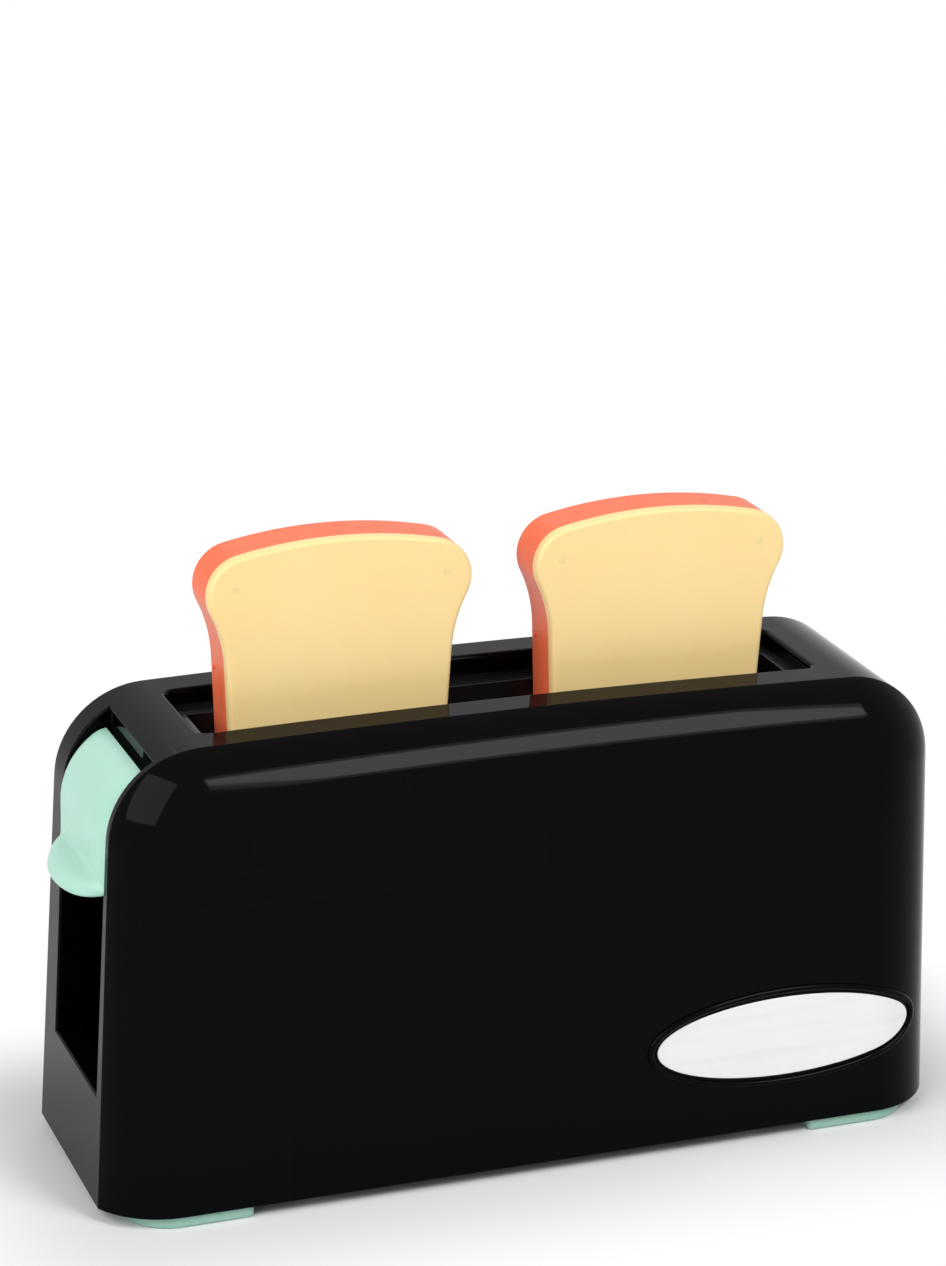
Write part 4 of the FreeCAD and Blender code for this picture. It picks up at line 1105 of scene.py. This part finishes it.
def reckon(tree, operation, *values):
    """Result of one sum."""
    return put(tree, "ShaderNodeMath", dict(enumerate(values)), operation=operation)


def times(tree, a, b):
    """Product."""
    return reckon(tree, "MULTIPLY", a, b)


def new_tree(name, defaults):
    """Tree with an input for the points and one for each default, where None stands for a material."""
    tree = bpy.data.node_groups.new(name, "GeometryNodeTree")
    tree.interface.new_socket("Geometry", in_out="INPUT", socket_type="NodeSocketGeometry")
    for label, default in defaults.items():
        kind = {float: "Float", int: "Int"}.get(type(default), "Material")
        socket = tree.interface.new_socket(label, in_out="INPUT", socket_type="NodeSocket" + kind)
        if default is not None:
            socket.default_value = default
    tree.interface.new_socket("Geometry", in_out="OUTPUT", socket_type="NodeSocketGeometry")
    return tree, tree.nodes.new("NodeGroupInput").outputs, tree.nodes.new("NodeGroupOutput").inputs


def close_tree(tree, given, result, instance, smooth):
    """Ends a tree: one copy at each point, made real and given its material."""
    made = put(tree, "GeometryNodeInstanceOnPoints", {"Points": given["Geometry"], "Instance": instance})
    made = put(tree, "GeometryNodeRealizeInstances", {"Geometry": made})
    if smooth:
        made = put(tree, "GeometryNodeSetShadeSmooth", {"Geometry": made})
    made = put(tree, "GeometryNodeSetMaterial", {"Geometry": made, "Material": given["Material"]})
    tree.links.new(made, result[0])
    return tree


def spring_tree():
    """Coil of round wire whose turns lie closer together at both ends."""
    tree, given, result = new_tree("return_spring", {
        "Coil Radius": 3.25 * MM, "Wire Radius": WIRE_RADIUS, "Height": 60.0 * MM, "Turns": 7.0,
        "End Closing": 0.8, "Points": 260, "Material": None})
    line = put(tree, "GeometryNodeCurvePrimitiveLine")
    path = put(tree, "GeometryNodeResampleCurve", {"Curve": line, "Count": given["Points"]})
    share = add(tree, "GeometryNodeSplineParameter").outputs["Factor"]
    angle = times(tree, times(tree, share, given["Turns"]), 2 * math.pi)
    swell = times(tree, reckon(tree, "SINE", times(tree, share, 2 * math.pi)),
                  reckon(tree, "DIVIDE", given["End Closing"], 2 * math.pi))
    spot = put(tree, "ShaderNodeCombineXYZ", {
        "X": times(tree, reckon(tree, "COSINE", angle), given["Coil Radius"]),
        "Y": times(tree, reckon(tree, "SINE", angle), given["Coil Radius"]),
        "Z": times(tree, reckon(tree, "SUBTRACT", share, swell), given["Height"])})
    coil = put(tree, "GeometryNodeSetPosition", {"Geometry": path, "Position": spot})
    wire = put(tree, "GeometryNodeCurvePrimitiveCircle", {"Resolution": 12, "Radius": given["Wire Radius"]})
    tube = put(tree, "GeometryNodeCurveToMesh", {"Curve": coil, "Profile Curve": wire, "Fill Caps": True})
    return close_tree(tree, given, result, tube, smooth=True)


def screw_tree():
    """Pan-head screws with a cross recess, one at each point, heads down."""
    tree, given, result = new_tree("screw_set", {
        "Head Radius": 2.6 * MM, "Head Height": 1.5 * MM, "Shank Radius": 1.4 * MM, "Shank Length": 10.0 * MM,
        "Recess Width": 0.75 * MM, "Recess Depth": 1.0 * MM, "Thread Turns": 8.0, "Material": None})

    def part_of(label, factor):
        return times(tree, given[label], factor)

    def raised(geometry, height):
        way = put(tree, "ShaderNodeCombineXYZ", {"Z": height})
        return put(tree, "GeometryNodeTransform", {"Geometry": geometry, "Translation": way})

    rim = put(tree, "GeometryNodeMeshCylinder", {
        "Vertices": 40, "Radius": given["Head Radius"], "Depth": part_of("Head Height", 0.5)})
    dome = put(tree, "GeometryNodeMeshCone", {
        "Vertices": 40, "Side Segments": 3, "Radius Top": given["Head Radius"],
        "Radius Bottom": part_of("Head Radius", 0.78), "Depth": part_of("Head Height", 0.5)})
    whole = add(tree, "GeometryNodeMeshBoolean", operation="UNION", solver="EXACT")
    tree.links.new(raised(rim, part_of("Head Height", -0.25)), whole.inputs["Mesh 2"])
    tree.links.new(raised(dome, part_of("Head Height", -1.0)), whole.inputs["Mesh 2"])
    head = add(tree, "GeometryNodeMeshBoolean", {"Mesh 1": whole.outputs[0]}, operation="DIFFERENCE",
               solver="EXACT")
    for narrow, wide in ("XY", "YX"):
        extent = put(tree, "ShaderNodeCombineXYZ", {
            narrow: given["Recess Width"], wide: part_of("Head Radius", 1.2), "Z": part_of("Recess Depth", 2.0)})
        bar = put(tree, "GeometryNodeMeshCube", {"Size": extent})
        tree.links.new(raised(bar, part_of("Head Height", -1.0)), head.inputs["Mesh 2"])
    shank = put(tree, "GeometryNodeMeshCylinder", {
        "Vertices": 24, "Radius": part_of("Shank Radius", 0.86), "Depth": given["Shank Length"]})
    spiral = put(tree, "GeometryNodeCurveSpiral", {
        "Resolution": 20, "Rotations": given["Thread Turns"], "Start Radius": part_of("Shank Radius", 0.84),
        "End Radius": part_of("Shank Radius", 0.84), "Height": part_of("Shank Length", 0.94)})
    ridge = put(tree, "GeometryNodeCurvePrimitiveCircle", {
        "Resolution": 4, "Radius": part_of("Shank Radius", 0.16)})
    thread = put(tree, "GeometryNodeCurveToMesh", {"Curve": spiral, "Profile Curve": ridge, "Fill Caps": True})
    joined = add(tree, "GeometryNodeJoinGeometry")
    for solid in (head.outputs[0], raised(shank, part_of("Shank Length", 0.5)), thread):
        tree.links.new(solid, joined.inputs[0])
    return close_tree(tree, given, result, joined.outputs[0], smooth=False)


def grown(name, tree, points, values):
    """Plain mesh of what a tree makes at some points, with its named inputs set."""
    seed = bpy.data.meshes.new(name + "_points")
    seed.from_pydata(points, [], [])
    holder = bpy.data.objects.new(name + "_points", seed)
    bpy.context.scene.collection.objects.link(holder)
    modifier = holder.modifiers.new(name, "NODES")
    modifier.node_group = tree
    sockets = {item.name: item.identifier for item in tree.interface.items_tree
               if item.item_type == "SOCKET" and item.in_out == "INPUT"}
    for label, value in values.items():
        modifier[sockets[label]] = value
    bpy.context.view_layer.update()
    shown = holder.evaluated_get(bpy.context.evaluated_depsgraph_get())
    mesh = bpy.data.meshes.new_from_object(shown)
    mesh.name = name
    holder.modifiers.remove(modifier)
    bpy.data.objects.remove(holder)
    bpy.data.meshes.remove(seed)
    if not mesh.polygons:
        raise RuntimeError(name + " came out empty")
    return mesh


# ------------------------------------------------------------------ finishes
MIX_FACTOR, MIX_A, MIX_B, MIX_RESULT = 0, 6, 7, 2    # places of a Mix node's colour sockets
SURFACE_FIELDS = ["drift_scale", "drift", "roughness", "patchiness", "wave_scale", "grain_scale", "grain_share"]

Finish = namedtuple("Finish", ["colour", "drift_tint"] + SURFACE_FIELDS + ["bump", "lines", "shader"])
Lines = namedtuple("Lines", "stretch turn threshold softness rougher tint cover relief")

FINISHES = {    # tints are factors of the finish's own colour
    "housing_gloss": Finish(
        colour="gloss_black", drift_tint=1.5, drift_scale=26.0, drift=0.5, roughness=0.06, patchiness=0.05,
        wave_scale=22.0, grain_scale=1100.0, grain_share=0.012, bump=0.06 * MM,
        lines=[Lines(stretch=(9.0, 700.0, 420.0), turn=(0.2, 0.4, 0.1), threshold=0.66, softness=0.05,
                     rougher=0.07, tint=3.0, cover=0.25, relief=0.0),
               Lines(stretch=(500.0, 600.0, 14.0), turn=(0.1, -0.2, 0.3), threshold=0.68, softness=0.05,
                     rougher=0.06, tint=3.0, cover=0.25, relief=0.0)],
        shader={"Specular IOR Level": 0.05}),
    "inner_semi_gloss": Finish(
        colour="inner_black", drift_tint=1.8, drift_scale=60.0, drift=0.6, roughness=0.20, patchiness=0.12,
        wave_scale=90.0, grain_scale=1400.0, grain_share=0.12, bump=0.05 * MM,
        lines=[Lines(stretch=(30.0, 500.0, 30.0), turn=(0.0, 0.0, 0.3), threshold=0.62, softness=0.1,
                     rougher=0.08, tint=3.0, cover=0.4, relief=0.0)],
        shader={"Specular IOR Level": 0.2}),
    "mint_satin": Finish(
        colour="mint", drift_tint=(0.90, 0.97, 0.94), drift_scale=45.0, drift=0.5, roughness=0.34,
        patchiness=0.08, wave_scale=70.0, grain_scale=1300.0, grain_share=0.10, bump=0.05 * MM,
        lines=[Lines(stretch=(500.0, 40.0, 500.0), turn=(0.0, 0.1, 0.0), threshold=0.64, softness=0.1,
                     rougher=0.06, tint=0.86, cover=0.18, relief=0.0)],
        shader={"Specular IOR Level": 0.5, "Subsurface Weight": 0.12, "Subsurface Scale": 0.002}),
    "badge_satin": Finish(
        colour="badge_white", drift_tint=0.93, drift_scale=55.0, drift=0.5, roughness=0.30, patchiness=0.08,
        wave_scale=90.0, grain_scale=1500.0, grain_share=0.10, bump=0.04 * MM,
        lines=[Lines(stretch=(18.0, 300.0, 520.0), turn=(0.0, 0.06, 0.0), threshold=0.5, softness=0.2,
                     rougher=0.08, tint=0.90, cover=0.5, relief=0.15)],
        shader={"Specular IOR Level": 0.5}),
    "crumb_satin": Finish(
        colour="crumb", drift_tint=(1.0, 0.955, 0.90), drift_scale=24.0, drift=0.7, roughness=0.38,
        patchiness=0.08, wave_scale=60.0, grain_scale=1200.0, grain_share=0.10, bump=0.06 * MM,
        lines=[Lines(stretch=(60.0, 60.0, 16.0), turn=(0.1, 0.5, 0.0), threshold=0.55, softness=0.2,
                     rougher=0.03, tint=(1.0, 1.03, 1.12), cover=0.4, relief=0.0)],
        shader={"Specular IOR Level": 0.30, "Subsurface Weight": 0.15, "Subsurface Scale": 0.003}),
    "crust_satin": Finish(
        colour="crust", drift_tint=(0.99, 1.2, 1.3), drift_scale=35.0, drift=0.35, roughness=0.34,
        patchiness=0.10, wave_scale=70.0, grain_scale=1200.0, grain_share=0.10, bump=0.06 * MM,
        lines=[Lines(stretch=(260.0, 420.0, 14.0), turn=(0.0, 0.0, 0.0), threshold=0.56, softness=0.12,
                     rougher=0.05, tint=(0.85, 0.6, 0.6), cover=0.28, relief=0.1)],
        shader={"Specular IOR Level": 0.10, "Subsurface Weight": 0.15, "Subsurface Scale": 0.003}),
    "zinc_plate": Finish(
        colour="zinc", drift_tint=(0.8, 0.84, 0.9), drift_scale=260.0, drift=0.6, roughness=0.30,
        patchiness=0.20, wave_scale=400.0, grain_scale=2500.0, grain_share=0.30, bump=0.01 * MM,
        lines=[Lines(stretch=(700.0, 700.0, 40.0), turn=(0.0, 0.0, 0.0), threshold=0.55, softness=0.15,
                     rougher=0.12, tint=0.7, cover=0.4, relief=0.1)],
        shader={"Metallic": 1.0}),
    "drawn_wire": Finish(
        colour="wire", drift_tint=(0.7, 0.7, 0.74), drift_scale=300.0, drift=0.6, roughness=0.28,
        patchiness=0.20, wave_scale=500.0, grain_scale=2500.0, grain_share=0.30, bump=0.01 * MM,
        lines=[Lines(stretch=(900.0, 900.0, 60.0), turn=(0.3, 0.0, 0.0), threshold=0.55, softness=0.15,
                     rougher=0.10, tint=0.6, cover=0.4, relief=0.1)],
        shader={"Metallic": 1.0}),
}
# Same mint finish with the darker feet colour, which paints the shade under the housing's overhang
FINISHES["mint_feet"] = FINISHES["mint_satin"]._replace(colour="feet")


def new_group(name, defaults, results):
    """Shader group with an input for each default and an output for each result."""
    group = bpy.data.node_groups.new(name, "ShaderNodeTree")
    for label, default in defaults.items():
        kind = "Float" if isinstance(default, float) else {3: "Vector", 4: "Color"}[len(default)]
        made = group.interface.new_socket(label, in_out="INPUT", socket_type="NodeSocket" + kind)
        made.default_value = default
    for label, kind in results.items():
        group.interface.new_socket(label, in_out="OUTPUT", socket_type="NodeSocket" + kind)
    return group, group.nodes.new("NodeGroupInput").outputs, group.nodes.new("NodeGroupOutput").inputs


def blend(tree, share, a, b):
    """Colour between two others."""
    made = add(tree, "ShaderNodeMix", {MIX_FACTOR: share, MIX_A: a, MIX_B: b}, data_type="RGBA")
    return made.outputs[MIX_RESULT]


def moulded_group():
    """Colour that drifts a little, roughness in soft patches and the fine waviness of moulded plastic."""
    if "moulded_surface" in bpy.data.node_groups:
        return bpy.data.node_groups["moulded_surface"]
    group, given, result = new_group("moulded_surface", {
        "Color": (0.5, 0.5, 0.5, 1.0), "Drift Color": (0.4, 0.4, 0.4, 1.0), "Drift Scale": 40.0, "Drift": 0.3,
        "Roughness": 0.3, "Patchiness": 0.05, "Grain Scale": 900.0, "Wave Scale": 60.0, "Grain Share": 0.2},
        {"Color": "Color", "Roughness": "Float", "Height": "Float"})
    spot = add(group, "ShaderNodeTexCoord").outputs["Object"]

    def noise(scale, detail, roughness=0.5):
        return put(group, "ShaderNodeTexNoise", {
            "Vector": spot, "Scale": scale, "Detail": detail, "Roughness": roughness})

    drift = noise(given["Drift Scale"], 3.0, 0.55)
    drift = put(group, "ShaderNodeMapRange", {"Value": drift, "From Min": 0.3, "From Max": 0.7})
    share = times(group, drift, given["Drift"])
    group.links.new(blend(group, share, given["Color"], given["Drift Color"]), result["Color"])
    patch = noise(times(group, given["Drift Scale"], 1.7), 4.0, 0.6)
    patch = times(group, reckon(group, "SUBTRACT", patch, 0.5), given["Patchiness"])
    group.links.new(reckon(group, "ADD", given["Roughness"], patch), result["Roughness"])
    grain = times(group, noise(given["Grain Scale"], 2.0), given["Grain Share"])
    group.links.new(reckon(group, "ADD", noise(given["Wave Scale"], 1.0), grain), result["Height"])
    return group


def hairline_group():
    """Mask of fine straight lines along the given direction: rub marks, drawing lines, flow streaks."""
    if "hairlines" in bpy.data.node_groups:
        return bpy.data.node_groups["hairlines"]
    group, given, result = new_group("hairlines", {
        "Stretch": (20.0, 900.0, 900.0), "Turn": (0.0, 0.0, 0.0), "Threshold": 0.6, "Softness": 0.08},
        {"Mask": "Float"})
    spot = put(group, "ShaderNodeMapping", {
        "Vector": add(group, "ShaderNodeTexCoord").outputs["Object"], "Rotation": given["Turn"],
        "Scale": given["Stretch"]})
    lines = put(group, "ShaderNodeTexNoise", {"Vector": spot, "Scale": 1.0, "Detail": 2.0, "Distortion": 0.15})
    mask = put(group, "ShaderNodeMapRange", {
        "Value": lines, "From Min": given["Threshold"],
        "From Max": reckon(group, "ADD", given["Threshold"], given["Softness"])})
    group.links.new(mask, result["Mask"])
    return group


def place_group(tree, group, values):
    """Outputs of a group's node with its inputs set."""
    made = tree.nodes.new("ShaderNodeGroup")
    made.node_tree = group
    for label, value in values.items():
        made.inputs[label].default_value = value
    return made.outputs


def tinted(base, factors):
    """Opaque colour whose parts are the base's, each multiplied by its factor."""
    factors = factors if isinstance(factors, tuple) else (factors,) * 3
    return tuple(value * factor for value, factor in zip(base, factors)) + (1.0,)


def finish(name):
    """Material of one moulded or metal finish, made on first use."""
    if name in bpy.data.materials:
        return bpy.data.materials[name]
    made_of = FINISHES[name]
    base = getattr(bpy.context.scene.toaster_colours, made_of.colour)
    material = bpy.data.materials.new(name)
    material.use_nodes = True
    material.diffuse_color = tinted(base, 1.0)
    tree = material.node_tree
    shader = tree.nodes["Principled BSDF"].inputs
    for label, value in made_of.shader.items():
        shader[label].default_value = value
    surface = {field.replace("_", " ").title(): getattr(made_of, field) for field in SURFACE_FIELDS}
    surface["Color"] = tinted(base, 1.0)
    surface["Drift Color"] = tinted(base, made_of.drift_tint)
    colour_out, rough_out, height_out = place_group(tree, moulded_group(), surface)
    for lines in made_of.lines:
        mask = place_group(tree, hairline_group(), {
            "Stretch": lines.stretch, "Turn": lines.turn, "Threshold": lines.threshold,
            "Softness": lines.softness})[0]
        rough_out = reckon(tree, "ADD", rough_out, times(tree, mask, lines.rougher))
        colour_out = blend(tree, times(tree, mask, lines.cover), colour_out, tinted(base, lines.tint))
        if lines.relief:
            height_out = reckon(tree, "ADD", height_out, times(tree, mask, lines.relief))
    tree.links.new(colour_out, shader["Base Color"])
    tree.links.new(rough_out, shader["Roughness"])
    bumped = put(tree, "ShaderNodeBump", {"Height": height_out, "Strength": 1.0, "Distance": made_of.bump})
    tree.links.new(bumped, shader["Normal"])
    return material


# ------------------------------------------------------------------ stage
CAMERA_PLACE = (-0.285275, -0.715850, 0.383539)
CAMERA_RIGHT = (0.93466, -0.35468, 0.02478)
CAMERA_UP = (0.09403, 0.31381, 0.94482)
CAMERA_BACK = (-0.34288, -0.88075, 0.32666)
SENSOR = 36.0
LENS = 104.284
WHITE = (1.0, 1.0, 1.0, 1.0)
FLOOR_REACH = 8.0
FOOTPRINT = (0.095, 0.030, 0.0)       # half sides of the floor that stays in the toy's shade
SHADE_START, SHADE_END = 0.002, 0.050 # distances from it over which the shade fades
LAMP_TARGET = (0.0, 0.0, 0.07)
LAMPS = (    # name, place, width, height, radiance
    ("front_box", (0.390, -0.685, 0.860), 0.42, 0.34, 9.0),
    ("front_box_rim", (0.394, -0.692, 0.869), 0.50, 0.46, 3.2),
    ("side_box", (-0.876, -0.464, 0.729), 0.89, 0.98, 3.8),
    ("rear_box", (0.30, 0.80, 0.90), 0.9, 0.6, 1.0),
)


def seen_directly(tree):
    """1 for rays that come straight from the camera or by way of a mirror or glass."""
    path = add(tree, "ShaderNodeLightPath").outputs
    seen = reckon(tree, "MAXIMUM", path["Is Camera Ray"], path["Is Glossy Ray"])
    return reckon(tree, "MAXIMUM", seen, path["Is Transmission Ray"])


def mixed_shader(owner, kind, share, first, second):
    """Ends a material's or a world's tree in a mix of two shaders."""
    mixed = put(owner.node_tree, "ShaderNodeMixShader", {0: share, 1: first, 2: second})
    add(owner.node_tree, kind, {0: mixed})
    return owner


def bare_tree(owner):
    """Emptied node tree of a material or world."""
    owner.use_nodes = True
    owner.node_tree.nodes.clear()
    return owner.node_tree


def floor_material():
    """Matt floor near the toy that fades into the white of the background."""
    material = bpy.data.materials.new("pale_floor")
    tree = bare_tree(material)
    spot = add(tree, "ShaderNodeTexCoord").outputs["Object"]
    tone = put(tree, "ShaderNodeTexNoise", {"Vector": spot, "Scale": 3.0, "Detail": 2.0})
    tone = put(tree, "ShaderNodeMapRange", {"Value": tone, "To Min": 0.80, "To Max": 0.82})
    matt = put(tree, "ShaderNodeBsdfDiffuse", {"Color": tone})
    glow = put(tree, "ShaderNodeEmission", {"Color": WHITE, "Strength": 1.0})
    away = put(tree, "ShaderNodeVectorMath", {0: spot}, operation="ABSOLUTE")
    away = put(tree, "ShaderNodeVectorMath", {0: away, 1: FOOTPRINT}, operation="SUBTRACT")
    away = put(tree, "ShaderNodeVectorMath", {0: away, 1: (0.0, 0.0, 0.0)}, operation="MAXIMUM")
    away = add(tree, "ShaderNodeVectorMath", {0: away}, operation="LENGTH").outputs["Value"]
    lit = put(tree, "ShaderNodeMapRange", {"Value": away, "From Min": SHADE_START, "From Max": SHADE_END},
              interpolation_type="SMOOTHSTEP")
    share = times(tree, seen_directly(tree), lit)
    return mixed_shader(material, "ShaderNodeOutputMaterial", share, matt, glow)


def studio_world():
    """White where it is seen, and a weaker fill for everything that it lights."""
    world = bpy.data.worlds.new("studio")
    tree = bare_tree(world)
    fill = put(tree, "ShaderNodeBackground", {"Color": WHITE, "Strength": 0.28})
    white = put(tree, "ShaderNodeBackground", {"Color": WHITE, "Strength": 1.0})
    return mixed_shader(world, "ShaderNodeOutputWorld", seen_directly(tree), fill, white)


def softbox(name, place, target, width, height, radiance):
    """Rectangular lamp that faces the target, with its strength given as radiance."""
    lamp = bpy.data.lights.new(name, "AREA")
    lamp.shape = "RECTANGLE"
    lamp.size = width
    lamp.size_y = height
    lamp.energy = radiance * math.pi * width * height
    lamp.use_shadow = True
    holder = bpy.data.objects.new(name, lamp)
    bpy.context.scene.collection.objects.link(holder)
    aim = Vector(target) - Vector(place)
    holder.matrix_world = Matrix.Translation(place) @ aim.to_track_quat("-Z", "Y").to_matrix().to_4x4()


def build_stage():
    """Floor, background, lamps and camera."""
    scene = bpy.context.scene
    mesh = bpy.data.meshes.new("floor")
    reach = FLOOR_REACH
    mesh.from_pydata([(-reach, -reach, 0), (reach, -reach, 0), (reach, reach, 0), (-reach, reach, 0)], [],
                     [(0, 1, 2, 3)])
    mesh.materials.append(floor_material())
    floor = bpy.data.objects.new("floor", mesh)
    scene.collection.objects.link(floor)
    scene.world = studio_world()
    for name, place, width, height, radiance in LAMPS:
        softbox(name, place, LAMP_TARGET, width, height, radiance)

    camera = bpy.data.cameras.new("camera")
    camera.sensor_fit = "VERTICAL"
    camera.sensor_height = SENSOR
    camera.sensor_width = SENSOR
    camera.lens = LENS
    camera.clip_start = 0.01
    holder = bpy.data.objects.new("camera", camera)
    scene.collection.objects.link(holder)
    axes = [Vector(axis).normalized() for axis in (CAMERA_RIGHT, CAMERA_UP, CAMERA_BACK)]
    holder.matrix_world = Matrix.Translation(CAMERA_PLACE) @ Matrix(axes).transposed().to_4x4()
    scene.camera = holder
    scene.view_settings.view_transform = "Standard"


# ------------------------------------------------------------------ operators
class BuildStage(bpy.types.Operator):
    """Lay the pale floor, hang the lamps and place the camera"""
    bl_idname = "toaster.stage"
    bl_label = "Stage"

    def execute(self, context):
        build_stage()
        return {"FINISHED"}


class BuildHousing(bpy.types.Operator):
    """Mould the glossy housing with its slot, lever window and badge bead"""
    bl_idname = "toaster.housing"
    bl_label = "Housing"

    def execute(self, context):
        mesh = build_housing(context.scene.toaster_housing, context.scene.toaster_badge)
        place_piece("housing", mesh, "housing", "housing_gloss", "housing_shell")
        return {"FINISHED"}


class BuildBadge(bpy.types.Operator):
    """Let the bare oval badge into the front face"""
    bl_idname = "toaster.badge"
    bl_label = "Badge"

    def execute(self, context):
        mesh = build_badge(context.scene.toaster_housing, context.scene.toaster_badge)
        place_piece("badge", mesh, "housing", "badge_satin", "badge_plate")
        return {"FINISHED"}


class BuildSlices(bpy.types.Operator):
    """Stand the two slices, each a pale crumb in front of its crust"""
    bl_idname = "toaster.slices"
    bl_label = "Slices"

    def execute(self, context):
        size = context.scene.toaster_slices
        for side, x in zip(("left", "right"), slice_centres(size)):
            for layer, mesh in (("crumb", build_crumb(size, x)), ("crust", build_crust(size, x))):
                place_piece(layer + "_" + side, mesh, "slice_" + side, layer + "_satin",
                            "toast_" + layer + "_" + side)
        return {"FINISHED"}


class BuildLever(bpy.types.Operator):
    """Curl the mint lever cover over the corner, with its thumb lip"""
    bl_idname = "toaster.lever"
    bl_label = "Lever cover"

    def execute(self, context):
        mesh = build_lever(context.scene.toaster_lever, context.scene.toaster_housing.window_shift)
        place_piece("lever", mesh, "carriage", "mint_satin", "lever_cover")
        return {"FINISHED"}


class BuildInnerMouldings(bpy.types.Operator):
    """Soften the guide, the carriage and the base plate"""
    bl_idname = "toaster.inner_mouldings"
    bl_label = "Inner mouldings"

    def execute(self, context):
        for node, name, body in (("toast_guide", "guide", "housing"), ("carriage_frame", "carriage", "carriage"),
                                 ("base_plate", "base", "housing")):
            mesh = merged_copy(node, name)
            if name == "carriage":
                fit_trays(mesh, context.scene.toaster_slices)
            soften(place_piece(name, mesh, body, "inner_semi_gloss", node), EDGE_SOFT)
        return {"FINISHED"}


class BuildFeet(bpy.types.Operator):
    """Set the four mint corner feet"""
    bl_idname = "toaster.feet"
    bl_label = "Feet"

    def execute(self, context):
        for corner in ("front_left", "front_right", "rear_left", "rear_right"):
            mesh = build_foot(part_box("foot_" + corner))
            # The feet get the darker mint, which paints the shade from the housing's overhang
            place_piece("pad_" + corner, mesh, "housing", "mint_feet", "foot_" + corner)
        return {"FINISHED"}


class BuildRods(bpy.types.Operator):
    """Stand the two guide rods"""
    bl_idname = "toaster.rods"
    bl_label = "Guide rods"

    def execute(self, context):
        for side in ("left", "right"):
            node = "guide_rod_" + side
            place_piece("rod_" + side, build_rod(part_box(node)), "housing", "zinc_plate", node)
        return {"FINISHED"}


class BuildSprings(bpy.types.Operator):
    """Wind the two return springs at the height of their solids"""
    bl_idname = "toaster.springs"
    bl_label = "Return springs"

    def execute(self, context):
        tree = spring_tree()
        for side in ("left", "right"):
            name, node = "spring_" + side, "return_spring_" + side
            low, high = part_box(node)
            x, y, tall = (low.x + high.x) / 2, (low.y + high.y) / 2, high.z - low.z
            mesh = grown(name, tree, [(x, y, low.z + WIRE_RADIUS)], {
                "Coil Radius": (high.x - low.x) / 2 - WIRE_RADIUS, "Wire Radius": WIRE_RADIUS,
                "Height": tall - 2 * WIRE_RADIUS, "Material": finish("drawn_wire")})
            piece = place_piece(name, mesh, "housing", "drawn_wire", node)
            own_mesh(piece)
        return {"FINISHED"}


class BuildScrews(bpy.types.Operator):
    """Drive the base screws and the guide screws"""
    bl_idname = "toaster.screws"
    bl_label = "Screws"

    def execute(self, context):
        tree = screw_tree()
        base = [(sx * PILLAR_X, sy * PILLAR_Y, BASE_SCREW_Z) for sx in (-1, 1) for sy in (-1, 1)]
        guide = [Vector(spot) * MM for spot in GUIDE_SCREWS]
        for name, node, points, long in (("base_screw_set", "base_screws", base, BASE_SCREW_LENGTH),
                                         ("guide_screw_set", "guide_screws", guide, GUIDE_SCREW_LENGTH)):
            mesh = grown(name, tree, points, {"Shank Length": long, "Material": finish("zinc_plate")})
            mesh.set_sharp_from_angle(angle=math.radians(35))
            place_piece(name, mesh, "housing", "zinc_plate", node)
        return {"FINISHED"}


STEPS = (BuildStage, BuildHousing, BuildBadge, BuildSlices, BuildLever, BuildInnerMouldings, BuildFeet, BuildRods,
         BuildSprings, BuildScrews)
SIZE_GROUPS = (("toaster_housing", HousingSizes), ("toaster_badge", BadgeSizes), ("toaster_slices", SliceSizes),
               ("toaster_lever", LeverSizes), ("toaster_colours", FinishColours))


class ToasterPanel(bpy.types.Panel):
    """Building steps of the toaster and its sizes"""
    bl_idname = "VIEW3D_PT_toaster"
    bl_label = "Toy Toaster"
    bl_space_type = "VIEW_3D"
    bl_region_type = "UI"
    bl_category = "Toaster"

    def draw(self, context):
        for step in STEPS:
            self.layout.operator(step.bl_idname)
        for name, group in SIZE_GROUPS:
            box = self.layout.box()
            for key in group.__annotations__:
                box.prop(getattr(context.scene, name), key)


def register():
    for name, group in SIZE_GROUPS:
        bpy.utils.register_class(group)
        setattr(bpy.types.Scene, name, PointerProperty(type=group))
    for step in STEPS:
        bpy.utils.register_class(step)
    bpy.utils.register_class(ToasterPanel)


def unregister():
    bpy.utils.unregister_class(ToasterPanel)
    for step in reversed(STEPS):
        bpy.utils.unregister_class(step)
    for name, group in reversed(SIZE_GROUPS):
        delattr(bpy.types.Scene, name)
        bpy.utils.unregister_class(group)


def main():
    register()
    for step in STEPS:
        family, name = step.bl_idname.split(".")
        getattr(getattr(bpy.ops, family), name)()


if __name__ == "__main__":
    main()
